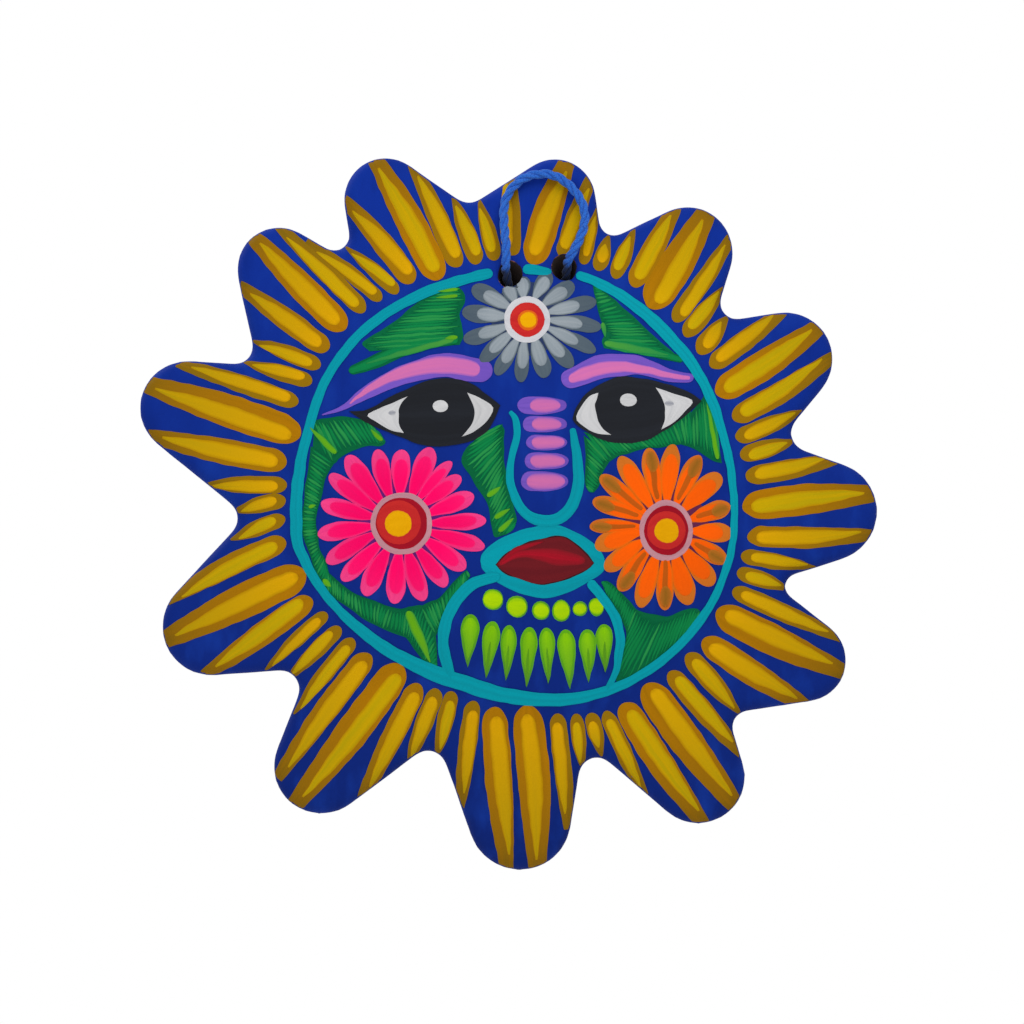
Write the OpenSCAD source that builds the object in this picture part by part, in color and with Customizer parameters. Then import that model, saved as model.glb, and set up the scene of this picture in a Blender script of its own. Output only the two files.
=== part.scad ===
// Ceramic sun for a wall: a fired clay plaque with a domed face, wavy hand-cut rays
// and two holes that carry a tied hanging cord.
// Millimetres. +Z is up, the front looks along -Y and the wall is the plane Y = 0.

/* [Rays] */
// Number of rays round the face
ray_count = 12; // [9:1:15]
// Angle of the first ray, clockwise from straight up
first_ray_angle = -24; // [-30:1:0]
// Distance from the centre to an average ray tip
tip_reach = 100; // [92:1:110]
// Distance from the centre to an average valley floor
valley_reach = 77; // [75:1:84]
// Rounding of the ray tips
tip_round = 13; // [8:0.5:15]
// Rounding of the valley floors
valley_round = 5; // [3:0.5:7]
// Thickness of the rays where they leave the face
ray_root = 10; // [8:0.5:13]
// Thickness of the rays at an average tip
ray_tip = 6.5; // [5:0.25:8]
// Rolled edge on the front of the rays
front_roll = 4; // [2:0.25:4.5]
// Softened edge on the back of the rays
back_roll = 1.5; // [0.5:0.25:2.25]

/* [Face] */
// Radius of the domed face at its foot
face_radius = 66; // [62:0.5:68]
// Height of the dome above the rays
face_rise = 11.5; // [8:0.5:15]
// Radius of the hollow behind the face, at the wall
hollow_radius = 67; // [64:0.5:70]
// Clay wall left at the middle of the face
face_wall = 7; // [5:0.5:9]

/* [Cord holes] */
// Diameter of the two holes on the face
hole_diameter = 6.5; // [6.25:0.05:8]
// Left hole, distance to the right of the centre
left_hole_x = -1.9; // [-2.1:0.1:-1.7]
// Left hole, height above the centre
left_hole_z = 58; // [57.8:0.1:58.2]
// Right hole, distance to the right of the centre
right_hole_x = 12.9; // [12.7:0.1:13.1]
// Right hole, height above the centre
right_hole_z = 59.7; // [59.5:0.1:59.9]
// Slope of the holes, down towards the hollow
hole_slope = 42; // [41:0.5:43]
// Narrowing of the holes for each millimetre of their depth
hole_narrowing = 0.27; // [0.25:0.01:0.29]

/* [Cord] */
// Diameter of the twisted cord
cord_diameter = 2.6; // [2:0.1:2.8]
// Turns of cord wrapped round the knot
knot_turns = 3; // [2:1:3]
// Radius of the cords bundled inside the knot's turns
knot_core = 2; // [1.5:0.1:2.2]

/* [Hidden] */

glaze_blue = "#1d3592";
cord_blue = "#2d69c8";

// Where the knife strayed on each ray in turn: how far the tip, and then the valley
// after it, was turned off its even place and cut past its average reach, and how much
// blunter the tip was rounded
tip_angle_strays = [-0.5, 1.5, 0, -1.5, -1.5, -5, -8, -6.5, -1, -0.5, 7.5, 6.5];
tip_reach_strays = [-2.5, -10, -8.5, -6, -1.5, 3, 6, 4.5, 6, 5, 5.5, -0.5];
tip_round_strays = [1, 0.5, 1, 0.5, 0.5, 3, 1.5, 1, 0, 0.5, 0.5, 1];
valley_angle_strays = [0, -1, -1, -1.5, -1.5, -5, -6.5, -3.5, -1.5, 3, 5.5, 3];
valley_reach_strays = [1.5, -4, -3.5, -1, 0.5, 9.5, -0.5, -1.5, 2.5, -0.5, 4, 3.5];

// Straight steps along each rounding
tip_steps = 11;
valley_steps = 5;
front_steps = 4;
back_steps = 2;
// Rings of the dome and of the hollow, and outline points for each point of a ring
dome_steps = 8;
ring_share = 3;
round_facets = 96;

// Share of the room between a tip and a valley that their roundings may fill
round_fill_share = 0.95;
// Least straight wall kept between the front and the back roll
least_wall = 0.5;
// Overshoot of the pierced holes past the clay
pierce_past = 3;

// Derived sizes of the plaque
ray_pitch = 360 / ray_count;
plaque_depth = ray_root + face_rise;
hollow_depth = plaque_depth - face_wall;

// Route of the loop in front of the top ray, from the left hole to the right one
loop_route = [
    [-3.1, -13.8, 60.2],
    [-3, -15, 62.2],
    [-2.9, -15, 64.8],
    [-3.2, -14.1, 68],
    [-3.5, -12.9, 71.5],
    [-3.6, -11.9, 75],
    [-2.8, -11.2, 78.7],
    [-0.9, -10.7, 81.7],
    [2, -10.4, 84],
    [5.5, -10.3, 85],
    [9, -10.3, 84.9],
    [12.2, -10.4, 83.6],
    [15.2, -10.7, 81],
    [17.4, -11.2, 77.8],
    [18.4, -12, 74.4],
    [18.2, -13, 71],
    [17.3, -14.1, 68],
    [16.1, -15, 65.4],
    [15, -15, 63.6],
    [14.2, -13.8, 62.2]
];

// Routes of the two legs, from the front of their holes back and down to the knot
left_leg_route = [
    [-3.1, -12.4, 59.3],
    [-2.7, -10.2, 56.7],
    [-2.3, -8, 54.3],
    [-2, -6, 52.2],
    [-1.8, -4.6, 51],
    [-1.3, -3.8, 49.3],
    [-0.2, -3.7, 48],
    [1.6, -3.7, 46.9],
    [3.6, -3.8, 46]
];
right_leg_route = [
    [13.8, -12.4, 61.3],
    [13.5, -10.2, 59],
    [13.2, -8, 56.8],
    [13, -6, 54.7],
    [12.9, -4.7, 53.4],
    [12.5, -3.8, 51.8],
    [11.7, -3.7, 50.1],
    [10.1, -3.7, 48.2],
    [7.8, -3.8, 46.2]
];

// Middle of the knot in the hollow, and the routes of the two loose tails below it
knot_centre = [5.5, -4, 44.2];
left_tail_route = [
    [3.6, -3.8, 42.4],
    [2.7, -3.2, 39.4],
    [1.6, -2.6, 36],
    [1, -2.3, 32.5]
];
right_tail_route = [
    [7.6, -3.8, 42.4],
    [8.6, -3.2, 39.6],
    [10.2, -2.6, 36.6],
    [11.2, -2.3, 33.5]
];

cord_sides = 8;
// Spacing of the knot's turns, drawn tight so that they sink into each other
knot_pitch = 0.9 * cord_diameter;
// Angles of the rings that round off a cord's end, from its tip
end_angles = [75, 50, 25];

// Height of a ball's cap above its foot, at a share of the foot's radius
function cap_height(foot, rise, share) =
    let (ball = (foot * foot + rise * rise) / (2 * rise))
    rise - ball + sqrt(ball * ball - pow(foot * share, 2));

// Direction at an angle clockwise from straight up, seen from the front
function toward(angle) = [sin(angle), 0, cos(angle)];

// Angle of a direction, taken in the turn nearest to a given angle
function angle_near(v, near) =
    let (raw = atan2(v.x, v.z))
    raw + 360 * round((near - raw) / 360);

// Hand-cut difference of one ray, from a list that starts again after its last entry
function strayed(list, i) = list[((i + ray_count) % ray_count) % len(list)];

// Angle and reach of one tip and of the valley after it
function tip_angle(i) = first_ray_angle + ray_pitch * i + strayed(tip_angle_strays, i);
function tip_radius(i) = tip_reach + strayed(tip_reach_strays, i);
function valley_angle(i) =
    first_ray_angle + ray_pitch * (i + 0.5) + strayed(valley_angle_strays, i);
function valley_radius(i) = valley_reach + strayed(valley_reach_strays, i);

// Rounding that a tip would have with room to spare
function full_rounding(i) = tip_round + strayed(tip_round_strays, i);

// Share of the full roundings that fits between a tip and a valley
function fit(tip, valley) =
    let (room = 2 * min(tip_radius(tip) - full_rounding(tip), valley_radius(valley))
        * sin(abs(tip_angle(tip) - valley_angle(valley)) / 2))
    min(1, round_fill_share * room / (full_rounding(tip) + valley_round));

// Rounding of each tip and valley, after both its sides have room
function tip_rounding(i) = full_rounding(i) * min(fit(i, i), fit(i, i - 1));
function valley_rounding(i) = valley_round * min(fit(i, i), fit(i + 1, i));

// Centres of the roundings
function tip_centre(i) = (tip_radius(i) - tip_rounding(i)) * toward(tip_angle(i));
function valley_centre(i) = (valley_radius(i) + valley_rounding(i)) * toward(valley_angle(i));

// Angle square to the straight flank that joins a tip to the valley after it
function fall_angle(i) =
    let (span = valley_centre(i) - tip_centre(i))
    angle_near(span, tip_angle(i) + 90) - 90
        + asin((tip_rounding(i) + valley_rounding(i)) / norm(span));

// Angle square to the straight flank that joins a valley to the tip after it
function rise_angle(i) =
    let (span = tip_centre(i + 1) - valley_centre(i))
    angle_near(span, valley_angle(i) + 90) - 90
        - asin((tip_rounding(i + 1) + valley_rounding(i)) / norm(span));

// Outline of the rays on the wall, drawn in by an inset
function outline(inset) = [
    for (i = [0 : ray_count - 1])
        let (
            rise_in = rise_angle(i - 1),
            fall = fall_angle(i),
            rise_out = rise_angle(i),
            tip_size = tip_rounding(i) - inset,
            valley_size = valley_rounding(i) + inset
        )
        each concat(
            [for (k = [0 : tip_steps])
                tip_centre(i) + tip_size * toward(rise_in + (fall - rise_in) * k / tip_steps)],
            [for (k = [0 : valley_steps])
                valley_centre(i) - valley_size * toward(fall + (rise_out - fall) * k / valley_steps)]
        )
];

// Thickness of the rays at a distance from the centre
function ray_thick(radius) =
    ray_root - (ray_root - ray_tip) * (radius - face_radius) / (tip_reach - face_radius);

// Front roll that the thinnest tip and the tightest tip rounding leave room for
function front_edge() =
    let (rays = [0 : ray_count - 1])
    min(
        front_roll,
        ray_thick(max([for (i = rays) tip_radius(i)])) - back_roll - least_wall,
        round_fill_share * min([for (i = rays) tip_rounding(i)])
    );

// Rings of the rolled edge, from the flat back to the sloping front
function edge_rings() =
    let (roll = front_edge())
    concat(
        [for (k = [0 : back_steps])
            let (a = 90 * k / back_steps)
            [for (p = outline(back_roll * (1 - sin(a)))) p - [0, back_roll * (1 - cos(a)), 0]]],
        [for (k = [0 : front_steps])
            let (a = 90 * k / front_steps)
            [for (p = outline(roll * (1 - cos(a))))
                p - [0, ray_thick(norm(p)) - roll * (1 - sin(a)), 0]]]
    );

// Rings of a cap on the wall's normal, from its foot inward, at chosen angles
function cap_rings(angles, foot, rise, base) = [
    for (k = [0 : dome_steps - 1])
        let (share = 1 - k / dome_steps)
        [for (a = angles)
            foot * share * toward(a) - [0, base + cap_height(foot, rise, share), 0]]
];

// Two triangles between each pair of neighbouring points on two rings
function band(first, second, count) = [
    for (k = [0 : count - 1])
        let (next = (k + 1) % count)
        each [
            [first + k, first + next, second + next],
            [first + k, second + next, second + k]
        ]
];

// Triangles from an outline ring in to a ring with fewer points
function thinning(outer, inner, count) =
    let (half = floor(ring_share / 2), total = count * ring_share)
    [for (m = [0 : count - 1])
        let (next = inner + (m + 1) % count)
        each concat(
            [for (j = [0 : ring_share - 1])
                [
                    outer + m * ring_share + j,
                    outer + (m * ring_share + j + 1) % total,
                    j < half ? inner + m : next
                ]],
            [[outer + m * ring_share + half, next, inner + m]]
        )];

// Triangles of a cap: the bands between its rings and the fan at its middle
function cap_faces(start, count) =
    let (last = start + (dome_steps - 1) * count)
    concat(
        [for (i = [0 : dome_steps - 2]) each band(start + i * count, start + (i + 1) * count, count)],
        [for (k = [0 : count - 1]) [last + k, last + (k + 1) % count, last + count]]
    );

// The same triangles turned to face the other way
function turned(faces) = [for (f = faces) [f[1], f[0], f[2]]];

// Clay skin: rolled edge, sloping rays, domed face in front and its hollow behind
module clay_body() {
    edges = edge_rings();
    wide = len(edges[0]);
    narrow = wide / ring_share;
    last = len(edges) - 1;
    angles = [for (k = [0 : narrow - 1]) let (p = edges[last][k * ring_share]) atan2(p.x, p.z)];
    dome = cap_rings(angles, face_radius, face_rise, ray_root);
    hollow = cap_rings(angles, hollow_radius, hollow_depth, 0);
    dome_start = len(edges) * wide;
    hollow_start = dome_start + dome_steps * narrow + 1;
    polyhedron(
        points = concat(
            [for (r = edges) each r],
            [for (r = dome) each r],
            [[0, -plaque_depth, 0]],
            [for (r = hollow) each r],
            [[0, -hollow_depth, 0]]
        ),
        faces = concat(
            [for (i = [0 : last - 1]) each band(i * wide, (i + 1) * wide, wide)],
            thinning(last * wide, dome_start, narrow),
            cap_faces(dome_start, narrow),
            turned(thinning(0, hollow_start, narrow)),
            turned(cap_faces(hollow_start, narrow))
        )
    );
}

// Hole pierced with a pointed stick, from a place on the face back and down to the hollow
module cord_hole(x, z) {
    front = ray_root + cap_height(face_radius, face_rise, norm([x, z]) / face_radius);
    depth = front / cos(hole_slope);
    translate([x, -front, z])
        rotate([-90 - hole_slope, 0, 0])
            translate([0, 0, -pierce_past])
                cylinder(
                    d1 = hole_diameter + hole_narrowing * pierce_past,
                    d2 = hole_diameter - hole_narrowing * depth,
                    h = depth + pierce_past,
                    $fn = round_facets
                );
}

// Vector of length one
function unit(v) = v / norm(v);

// List from its last entry to its first
function reversed(list) = [for (k = [len(list) - 1 : -1 : 0]) list[k]];

// Direction of a route at one of its points
function heading(route, i) =
    unit(route[min(i + 1, len(route) - 1)] - route[max(i - 1, 0)]);

// Ring of points round a place on a cord
function cord_ring(centre, forward, side, radius) =
    let (
        across = unit(side - (side * forward) * forward),
        up = cross(forward, across)
    )
    [for (k = [0 : cord_sides - 1])
        let (a = 360 * k / cord_sides)
        centre + radius * (cos(a) * across + sin(a) * up)];

// Rings that round off one end of a cord, from the tip or toward it
function end_rings(centre, forward, side, angles, sense) =
    let (radius = cord_diameter / 2)
    [for (a = angles)
        cord_ring(centre + sense * radius * sin(a) * forward, forward, side, radius * cos(a))];

// Cord swept along a route, with square or ball ends
module cord(route, side, ball_ends = false) {
    last_point = len(route) - 1;
    first_way = heading(route, 0);
    last_way = heading(route, last_point);
    rings = concat(
        ball_ends ? end_rings(route[0], first_way, side, end_angles, -1) : [],
        [for (i = [0 : last_point])
            cord_ring(route[i], heading(route, i), side, cord_diameter / 2)],
        ball_ends ? end_rings(route[last_point], last_way, side, reversed(end_angles), 1) : []
    );
    last = len(rings) - 1;
    faces = concat(
        [[for (k = [0 : cord_sides - 1]) k]],
        [for (i = [0 : last - 1], k = [0 : cord_sides - 1])
            let (
                next = (k + 1) % cord_sides,
                here = i * cord_sides,
                there = (i + 1) * cord_sides
            )
            each [[here + k, there + k, there + next], [here + k, there + next, here + next]]],
        [[for (k = [cord_sides - 1 : -1 : 0]) last * cord_sides + k]]
    );
    polyhedron(points = [for (r = rings) each r], faces = faces);
}

// Fired clay body: rays, domed face, hollow back and cord holes
module sun_plaque() {
    color(glaze_blue)
        difference() {
            clay_body();
            cord_hole(left_hole_x, left_hole_z);
            cord_hole(right_hole_x, right_hole_z);
        }
}

// Loop of the cord that the nail takes, tilting at the two holes
module hanger_loop() {
    color(cord_blue)
        cord(loop_route, [0, 1, 0], ball_ends = true);
}

// Stretch of the cord through the left hole, down to the knot
module cord_leg_left() {
    color(cord_blue)
        cord(left_leg_route, [1, 0, 0]);
}

// Stretch of the cord through the right hole, down to the knot
module cord_leg_right() {
    color(cord_blue)
        cord(right_leg_route, [1, 0, 0]);
}

// Knot that ties the two ends together, as turns of cord side by side
module tie_knot() {
    length = knot_pitch * (knot_turns - 1);
    color(cord_blue)
        translate(knot_centre)
            rotate([0, 90, 0])
                rotate_extrude($fn = round_facets) {
                    translate([0, -length / 2])
                        square([knot_core, length]);
                    for (i = [0 : knot_turns - 1])
                        translate([knot_core, i * knot_pitch - length / 2])
                            circle(d = cord_diameter, $fn = round_facets);
                }
}

// Loose end of the cord below the knot, on the left
module cord_tail_left() {
    color(cord_blue)
        cord(left_tail_route, [1, 0, 0]);
}

// Loose end of the cord below the knot, on the right
module cord_tail_right() {
    color(cord_blue)
        cord(right_tail_route, [1, 0, 0]);
}

sun_plaque();
hanger_loop();
cord_leg_left();
cord_leg_right();
tie_knot();
cord_tail_left();
cord_tail_right();
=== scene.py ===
"""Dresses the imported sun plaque: painted clay, brushwork laid stroke by stroke, and its hanging cord."""
import logging
import math
import random
from dataclasses import dataclass, field
from enum import Enum
from typing import Any, Callable, Sequence

import bmesh
import bpy
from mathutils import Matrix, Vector, noise
from mathutils.bvhtree import BVHTree


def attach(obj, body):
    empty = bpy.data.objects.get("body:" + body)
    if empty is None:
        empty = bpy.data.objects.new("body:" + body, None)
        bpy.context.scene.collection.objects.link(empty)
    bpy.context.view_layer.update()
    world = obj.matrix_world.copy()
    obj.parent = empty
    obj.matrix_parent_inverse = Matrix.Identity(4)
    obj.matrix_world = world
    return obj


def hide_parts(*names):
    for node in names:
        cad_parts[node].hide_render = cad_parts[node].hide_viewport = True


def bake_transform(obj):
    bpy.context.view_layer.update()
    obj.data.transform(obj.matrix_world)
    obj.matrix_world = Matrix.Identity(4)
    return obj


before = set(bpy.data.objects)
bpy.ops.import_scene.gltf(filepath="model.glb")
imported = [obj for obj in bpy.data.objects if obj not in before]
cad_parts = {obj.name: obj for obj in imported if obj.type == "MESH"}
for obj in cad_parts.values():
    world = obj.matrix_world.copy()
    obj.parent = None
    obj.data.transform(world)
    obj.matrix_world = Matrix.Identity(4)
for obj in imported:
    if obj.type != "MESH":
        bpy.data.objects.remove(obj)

LOG = logging.getLogger("sun_plaque")
MM = 0.001
THINNEST = 0.05
NOISE_SEED = 1
PLAQUE = "plaque"

Spot = tuple[float, float]
Place = tuple[float, float, float]


class Layer(Enum):
    """Height of a coat's edge over the clay in millimetres; later coats lie on earlier ones."""

    UNDER = 0.10
    BODY = 0.18
    OVER = 0.26
    TOP = 0.34
    DISC = 0.42
    HEART = 0.50
    EYE = 0.58


class Shape(Enum):
    """Outline that the brush leaves behind."""

    BAND = "even, with round ends"
    DROP = "round at the start, pointed at the end"
    PETAL = "narrow at the start, full and round at the end"
    DAB = "oval"
    MARK = "round at the start, slimmer and cut off at the end"
    TAPER = "round at the start, thinning out to the end"
    BLADE = "pointed at both ends"


def smooth_through(values: Sequence[Any], share: float) -> Any:
    """Reads a smooth curve that passes through evenly spaced values.

    Args:
        values: Two or more floats or vectors.
        share: How far along the curve, from 0 to 1.

    Returns:
        The value there, of the same kind as the given ones.
    """
    last = len(values) - 1
    reached = min(max(share, 0.0), 1.0) * last
    step = min(int(reached), last - 1)
    t = reached - step
    start = values[step]
    stop = values[step + 1]
    before = values[step - 1] if step > 0 else start * 2.0 - stop
    after = values[step + 2] if step + 2 <= last else stop * 2.0 - start
    bend = before * 2.0 - start * 5.0 + stop * 4.0 - after
    twist = start * 3.0 - before - stop * 3.0 + after
    return (start * 2.0 + (stop - before) * t + bend * (t * t) + twist * (t * t * t)) * 0.5


def polar(degrees: float, radius: float, centre: Spot = (0.0, 0.0)) -> Spot:
    """Gives the spot at an angle, clockwise from straight up, and a radius from a centre.

    Args:
        degrees: Angle clockwise from up, seen from the front.
        radius: Distance from the centre in millimetres.
        centre: Spot on the face that the radius starts from.

    Returns:
        The spot's x and z in millimetres.
    """
    turn = math.radians(degrees)
    return (centre[0] + radius * math.sin(turn), centre[1] + radius * math.cos(turn))


def between(start: Spot, end: Spot, share: float) -> Spot:
    """Gives the spot at a share of the way from one spot to another."""
    return (start[0] + share * (end[0] - start[0]), start[1] + share * (end[1] - start[1]))


def metres(point: Sequence[float]) -> Place:
    """Turns a point from millimetres into metres."""
    return tuple(value * MM for value in point)


def bowed(
        turns: Sequence[float], base: float, reach: float, centre: Spot = (0.0, 0.0)) -> list[Spot]:
    """Gives the middle line of a stroke that fans out from a centre.

    Args:
        turns: Angles clockwise from up at its foot, middle and tip.
        base: Radius at its foot in millimetres.
        reach: Radius at its tip.
        centre: Spot on the face that the radii start from.

    Returns:
        Three spots from foot to tip.
    """
    radii = (base, 0.5 * (base + reach), reach)
    return [polar(turn, radius, centre) for turn, radius in zip(turns, radii)]


def rounded(left: float) -> float:
    """Gives a round end's width at a share of the end's length from where it is full."""
    return math.sqrt(max(1.0 - left * left, 0.0))


def breadth_at(shape: Shape, share: float, to_end: float, half: float) -> float:
    """Gives the part of its full width that a stroke has at one place.

    Args:
        shape: Outline of the stroke.
        share: How far along the stroke, from 0 to 1.
        to_end: Distance to the nearer end in millimetres.
        half: Full half width there in millimetres.

    Returns:
        The part of the width, from 0 to 1.
    """
    if shape is Shape.BAND:
        return rounded(1.0 - min(to_end / max(half, THINNEST), 1.0))
    if shape is Shape.DAB:
        return rounded(2.0 * share - 1.0)
    if shape is Shape.BLADE:
        bluntness = 0.7
        return max(math.sin(math.pi * share), 0.0) ** bluntness
    fullest = {Shape.DROP: 0.28, Shape.PETAL: 0.66, Shape.MARK: 0.4, Shape.TAPER: 0.4}[shape]
    past = (share - fullest) / (1.0 - fullest)
    grown = min(share / fullest, 1.0)
    if shape is Shape.DROP:
        sharpness = 1.35
        return rounded(1.0 - grown) if past < 0.0 else 1.0 - past ** sharpness
    neck = 0.3 if shape is Shape.PETAL else 0.88
    swell = neck + (1.0 - neck) * math.sin(0.5 * math.pi * grown)
    if shape is Shape.PETAL:
        return swell if past < 0.0 else rounded(past)
    roundness = 1.3
    loss, hold = (0.54, 1.6) if shape is Shape.MARK else (0.88, 1.8)
    left = 1.0 - min(to_end / max(roundness * half, THINNEST), 1.0) if share < 0.5 else 0.0
    return rounded(left) * swell * (1.0 - loss * max(past, 0.0) ** hold)


def linear(code: str) -> tuple[float, float, float, float]:
    """Turns a hex colour code into linear RGBA.

    Args:
        code: Colour such as "1d3592".

    Returns:
        Red, green, blue and alpha as shader sockets take them.
    """
    parts = [int(code[k:k + 2], 16) / 255.0 for k in (0, 2, 4)]
    levels = [part / 12.92 if part <= 0.04045 else ((part + 0.055) / 1.055) ** 2.4 for part in parts]
    return (levels[0], levels[1], levels[2], 1.0)


class NodeBoard:
    """Adds the nodes of a material or world and joins them by the names of their sockets."""

    COARSE = 0.6

    def __init__(self, owner: bpy.types.ID) -> None:
        """Starts with the nodes that a new material or world has by itself."""
        owner.use_nodes = True
        self.owner = owner
        self.tree = owner.node_tree

    @property
    def shader(self) -> bpy.types.Node:
        """Gives the material's one shader."""
        return self.tree.nodes["Principled BSDF"]

    def feed(self, socket: bpy.types.NodeSocket, value: Any) -> None:
        """Links a socket to another, or sets its value.

        Args:
            socket: Socket to feed.
            value: Socket to link it to, a colour's hex code, or a plain value.
        """
        if isinstance(value, bpy.types.NodeSocket):
            self.tree.links.new(value, socket)
        else:
            socket.default_value = linear(value) if isinstance(value, str) else value

    def add(self, kind: str, settings: dict[str, Any], **sockets: Any) -> bpy.types.NodeOutputs:
        """Adds one node.

        Args:
            kind: Name of the node's type, after "ShaderNode".
            settings: The node's own properties.
            **sockets: Values or links by socket name, with "_" for a space.

        Returns:
            The node's outputs.
        """
        node = self.tree.nodes.new("ShaderNode" + kind)
        for name, value in settings.items():
            setattr(node, name, value)
        for name, value in sockets.items():
            self.feed(node.inputs[name.replace("_", " ")], value)
        return node.outputs

    def math(self, operation: str, first: Any, second: Any) -> bpy.types.NodeSocket:
        """Adds a sum of two numbers.

        Args:
            operation: The node's operation.
            first: First number or link.
            second: Second number or link.

        Returns:
            The result's socket.
        """
        node = self.tree.nodes.new("ShaderNodeMath")
        node.operation = operation
        self.feed(node.inputs[0], first)
        self.feed(node.inputs[1], second)
        return node.outputs[0]

    def spread(
            self, value: Any, low: float, high: float, to_low: float,
            to_high: float) -> bpy.types.NodeSocket:
        """Maps a range of numbers to another.

        Args:
            value: Number or link to map.
            low: Start of the range.
            high: End of the range.
            to_low: What the start becomes.
            to_high: What the end becomes.

        Returns:
            The result's socket.
        """
        ends = {"From_Min": low, "From_Max": high, "To_Min": to_low, "To_Max": to_high}
        return self.add("MapRange", {}, Value=value, **ends)["Result"]

    def mix(self, factor: Any, first: Any, second: Any, blend: str = "MIX") -> bpy.types.NodeSocket:
        """Mixes two colours.

        Args:
            factor: Share of the second colour.
            first: First colour or link.
            second: Second colour or link.
            blend: How they mix.

        Returns:
            The mixed colour's socket.
        """
        node = self.tree.nodes.new("ShaderNodeMix")
        node.data_type = "RGBA"
        node.blend_type = blend
        inputs = {socket.identifier: socket for socket in node.inputs}
        outputs = {socket.identifier: socket for socket in node.outputs}
        self.feed(inputs["Factor_Float"], factor)
        self.feed(inputs["A_Color"], first)
        self.feed(inputs["B_Color"], second)
        return outputs["Result_Color"]

    def fade(
            self, value: Any, span: Spot, first: Any, second: Any,
            most: float = 1.0) -> bpy.types.NodeSocket:
        """Mixes a second colour in as a number runs over a span.

        Args:
            value: Number or link to follow.
            span: Where the second colour starts, and where there is most of it.
            first: First colour or link.
            second: Second colour or link.
            most: Largest share of the second colour.

        Returns:
            The mixed colour's socket.
        """
        return self.mix(self.spread(value, *span, 0.0, most), first, second)

    def nearness(self, place: Any, share: float) -> bpy.types.NodeSocket:
        """Tells how near a place is to the end of a run from 0 to 1.

        Args:
            place: Place on the run.
            share: Share of each half over which the nearness grows.

        Returns:
            The nearness, from 0 to 1 at both ends.
        """
        off = self.math("ABSOLUTE", self.math("SUBTRACT", place, 0.5), 0.0)
        return self.spread(off, 0.5 - 0.5 * share, 0.5, 0.0, 1.0)

    def attribute(self, name: str) -> bpy.types.NodeSocket:
        """Reads one of the mesh's own attributes."""
        return self.add("Attribute", {"attribute_name": name})["Fac"]

    def cloud(self, vector: Any, scale: float, detail: float = 3.0) -> bpy.types.NodeSocket:
        """Adds soft noise around 0.5 that follows some coordinates."""
        return self.add("TexNoise", {}, Vector=vector, Scale=scale, Detail=detail)["Fac"]

    def stretched(self, vector: Any, scale: Place) -> bpy.types.NodeSocket:
        """Scales coordinates by a different amount each way."""
        return self.add("Mapping", {}, Vector=vector, Scale=scale)["Vector"]

    def bump(self, coarse: Any, fine: Any, depth: float) -> None:
        """Roughens the surface by two noises.

        Args:
            coarse: The stronger noise.
            fine: The weaker noise.
            depth: Depth of both together in millimetres.
        """
        strong = self.math("MULTIPLY", coarse, self.COARSE)
        height = self.math("ADD", strong, self.math("MULTIPLY", fine, 1.0 - self.COARSE))
        normal = self.add("Bump", {}, Strength=1.0, Distance=depth * MM, Height=height)["Normal"]
        self.feed(self.shader.inputs["Normal"], normal)

    def surface(self, colour: Any, rough: Any, specular: float) -> None:
        """Sets the surface's colour and how it shines.

        Args:
            colour: Colour or link.
            rough: Roughness or link.
            specular: Strength of the shine.
        """
        self.feed(self.shader.inputs["Base Color"], colour)
        self.feed(self.shader.inputs["Roughness"], rough)
        self.shader.inputs["Specular IOR Level"].default_value = specular


@dataclass(frozen=True)
class Paint:
    """Matte craft paint laid with a bristle brush."""

    name: str
    body: str
    streak: str
    tip: str
    streakiness: float = 0.5
    rough: float = 0.76
    second: str = ""
    run: Spot = (0.45, 1.0)
    edge: str = ""
    soft: float = 0.7
    fade: float = 0.24

    LANES = (1.6, 7.0, 90.0)
    GRAIN = 1600.0
    DEPTH = 0.12
    SHINE = 0.06

    def material(self) -> bpy.types.Material:
        """Builds the paint.

        Returns:
            A material whose streaks follow each stroke's own UV map, and which blends into
            its edge colour, if any.
        """
        board = NodeBoard(bpy.data.materials.new(self.name))
        coords = board.add("TexCoord", {})
        tone = board.attribute("tone")
        stroke = board.add("SeparateXYZ", {}, Vector=coords["UV"])
        runs = zip("XYZ", (stroke["X"], stroke["Y"], tone), self.LANES)
        lane = {axis: board.math("MULTIPLY", run, scale) for axis, run, scale in runs}
        bristles = board.cloud(board.add("CombineXYZ", {}, **lane)["Vector"], 1.0, 4.0)
        colour = board.fade(tone, (0.25, 0.85), self.body, self.second or self.body)
        colour = board.fade(stroke["X"], self.run, colour, self.tip, 0.85)
        colour = board.fade(bristles, (0.42, 0.68), colour, self.streak, self.streakiness)
        if self.edge:
            sides = board.nearness(stroke["Y"], self.soft)
            ends = board.nearness(stroke["X"], self.fade)
            colour = board.mix(board.math("MAXIMUM", sides, ends), colour, self.edge)
        # Painted shade: every paint is darkened towards the bottom of the plaque, as if the lower part lay
        # in shade.
        height = board.add("SeparateXYZ", {}, Vector=coords["Object"])["Z"]
        painted_low_shade = board.spread(height, -0.1, 0.04, 0.9, 1.0)
        shade = board.math("MULTIPLY", board.spread(tone, 0.0, 1.0, 0.94, 1.04), painted_low_shade)
        grey = board.add("CombineColor", {}, Red=shade, Green=shade, Blue=shade)["Color"]
        rough = board.spread(bristles, 0.3, 0.7, self.rough - 0.06, self.rough + 0.08)
        board.surface(board.mix(1.0, colour, grey, "MULTIPLY"), rough, self.SHINE)
        board.bump(bristles, board.cloud(coords["Object"], self.GRAIN, 2.0), self.DEPTH)
        return board.owner


TURQUOISE = Paint("turquoise", "0098a8", "0a8292", "008f9f")
PURPLE = Paint("purple", "7655be", "5f46a8", "6a4cb0")
BLUSH = Paint("blush", "c38c96", "b07a88", "c8929c")


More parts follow.
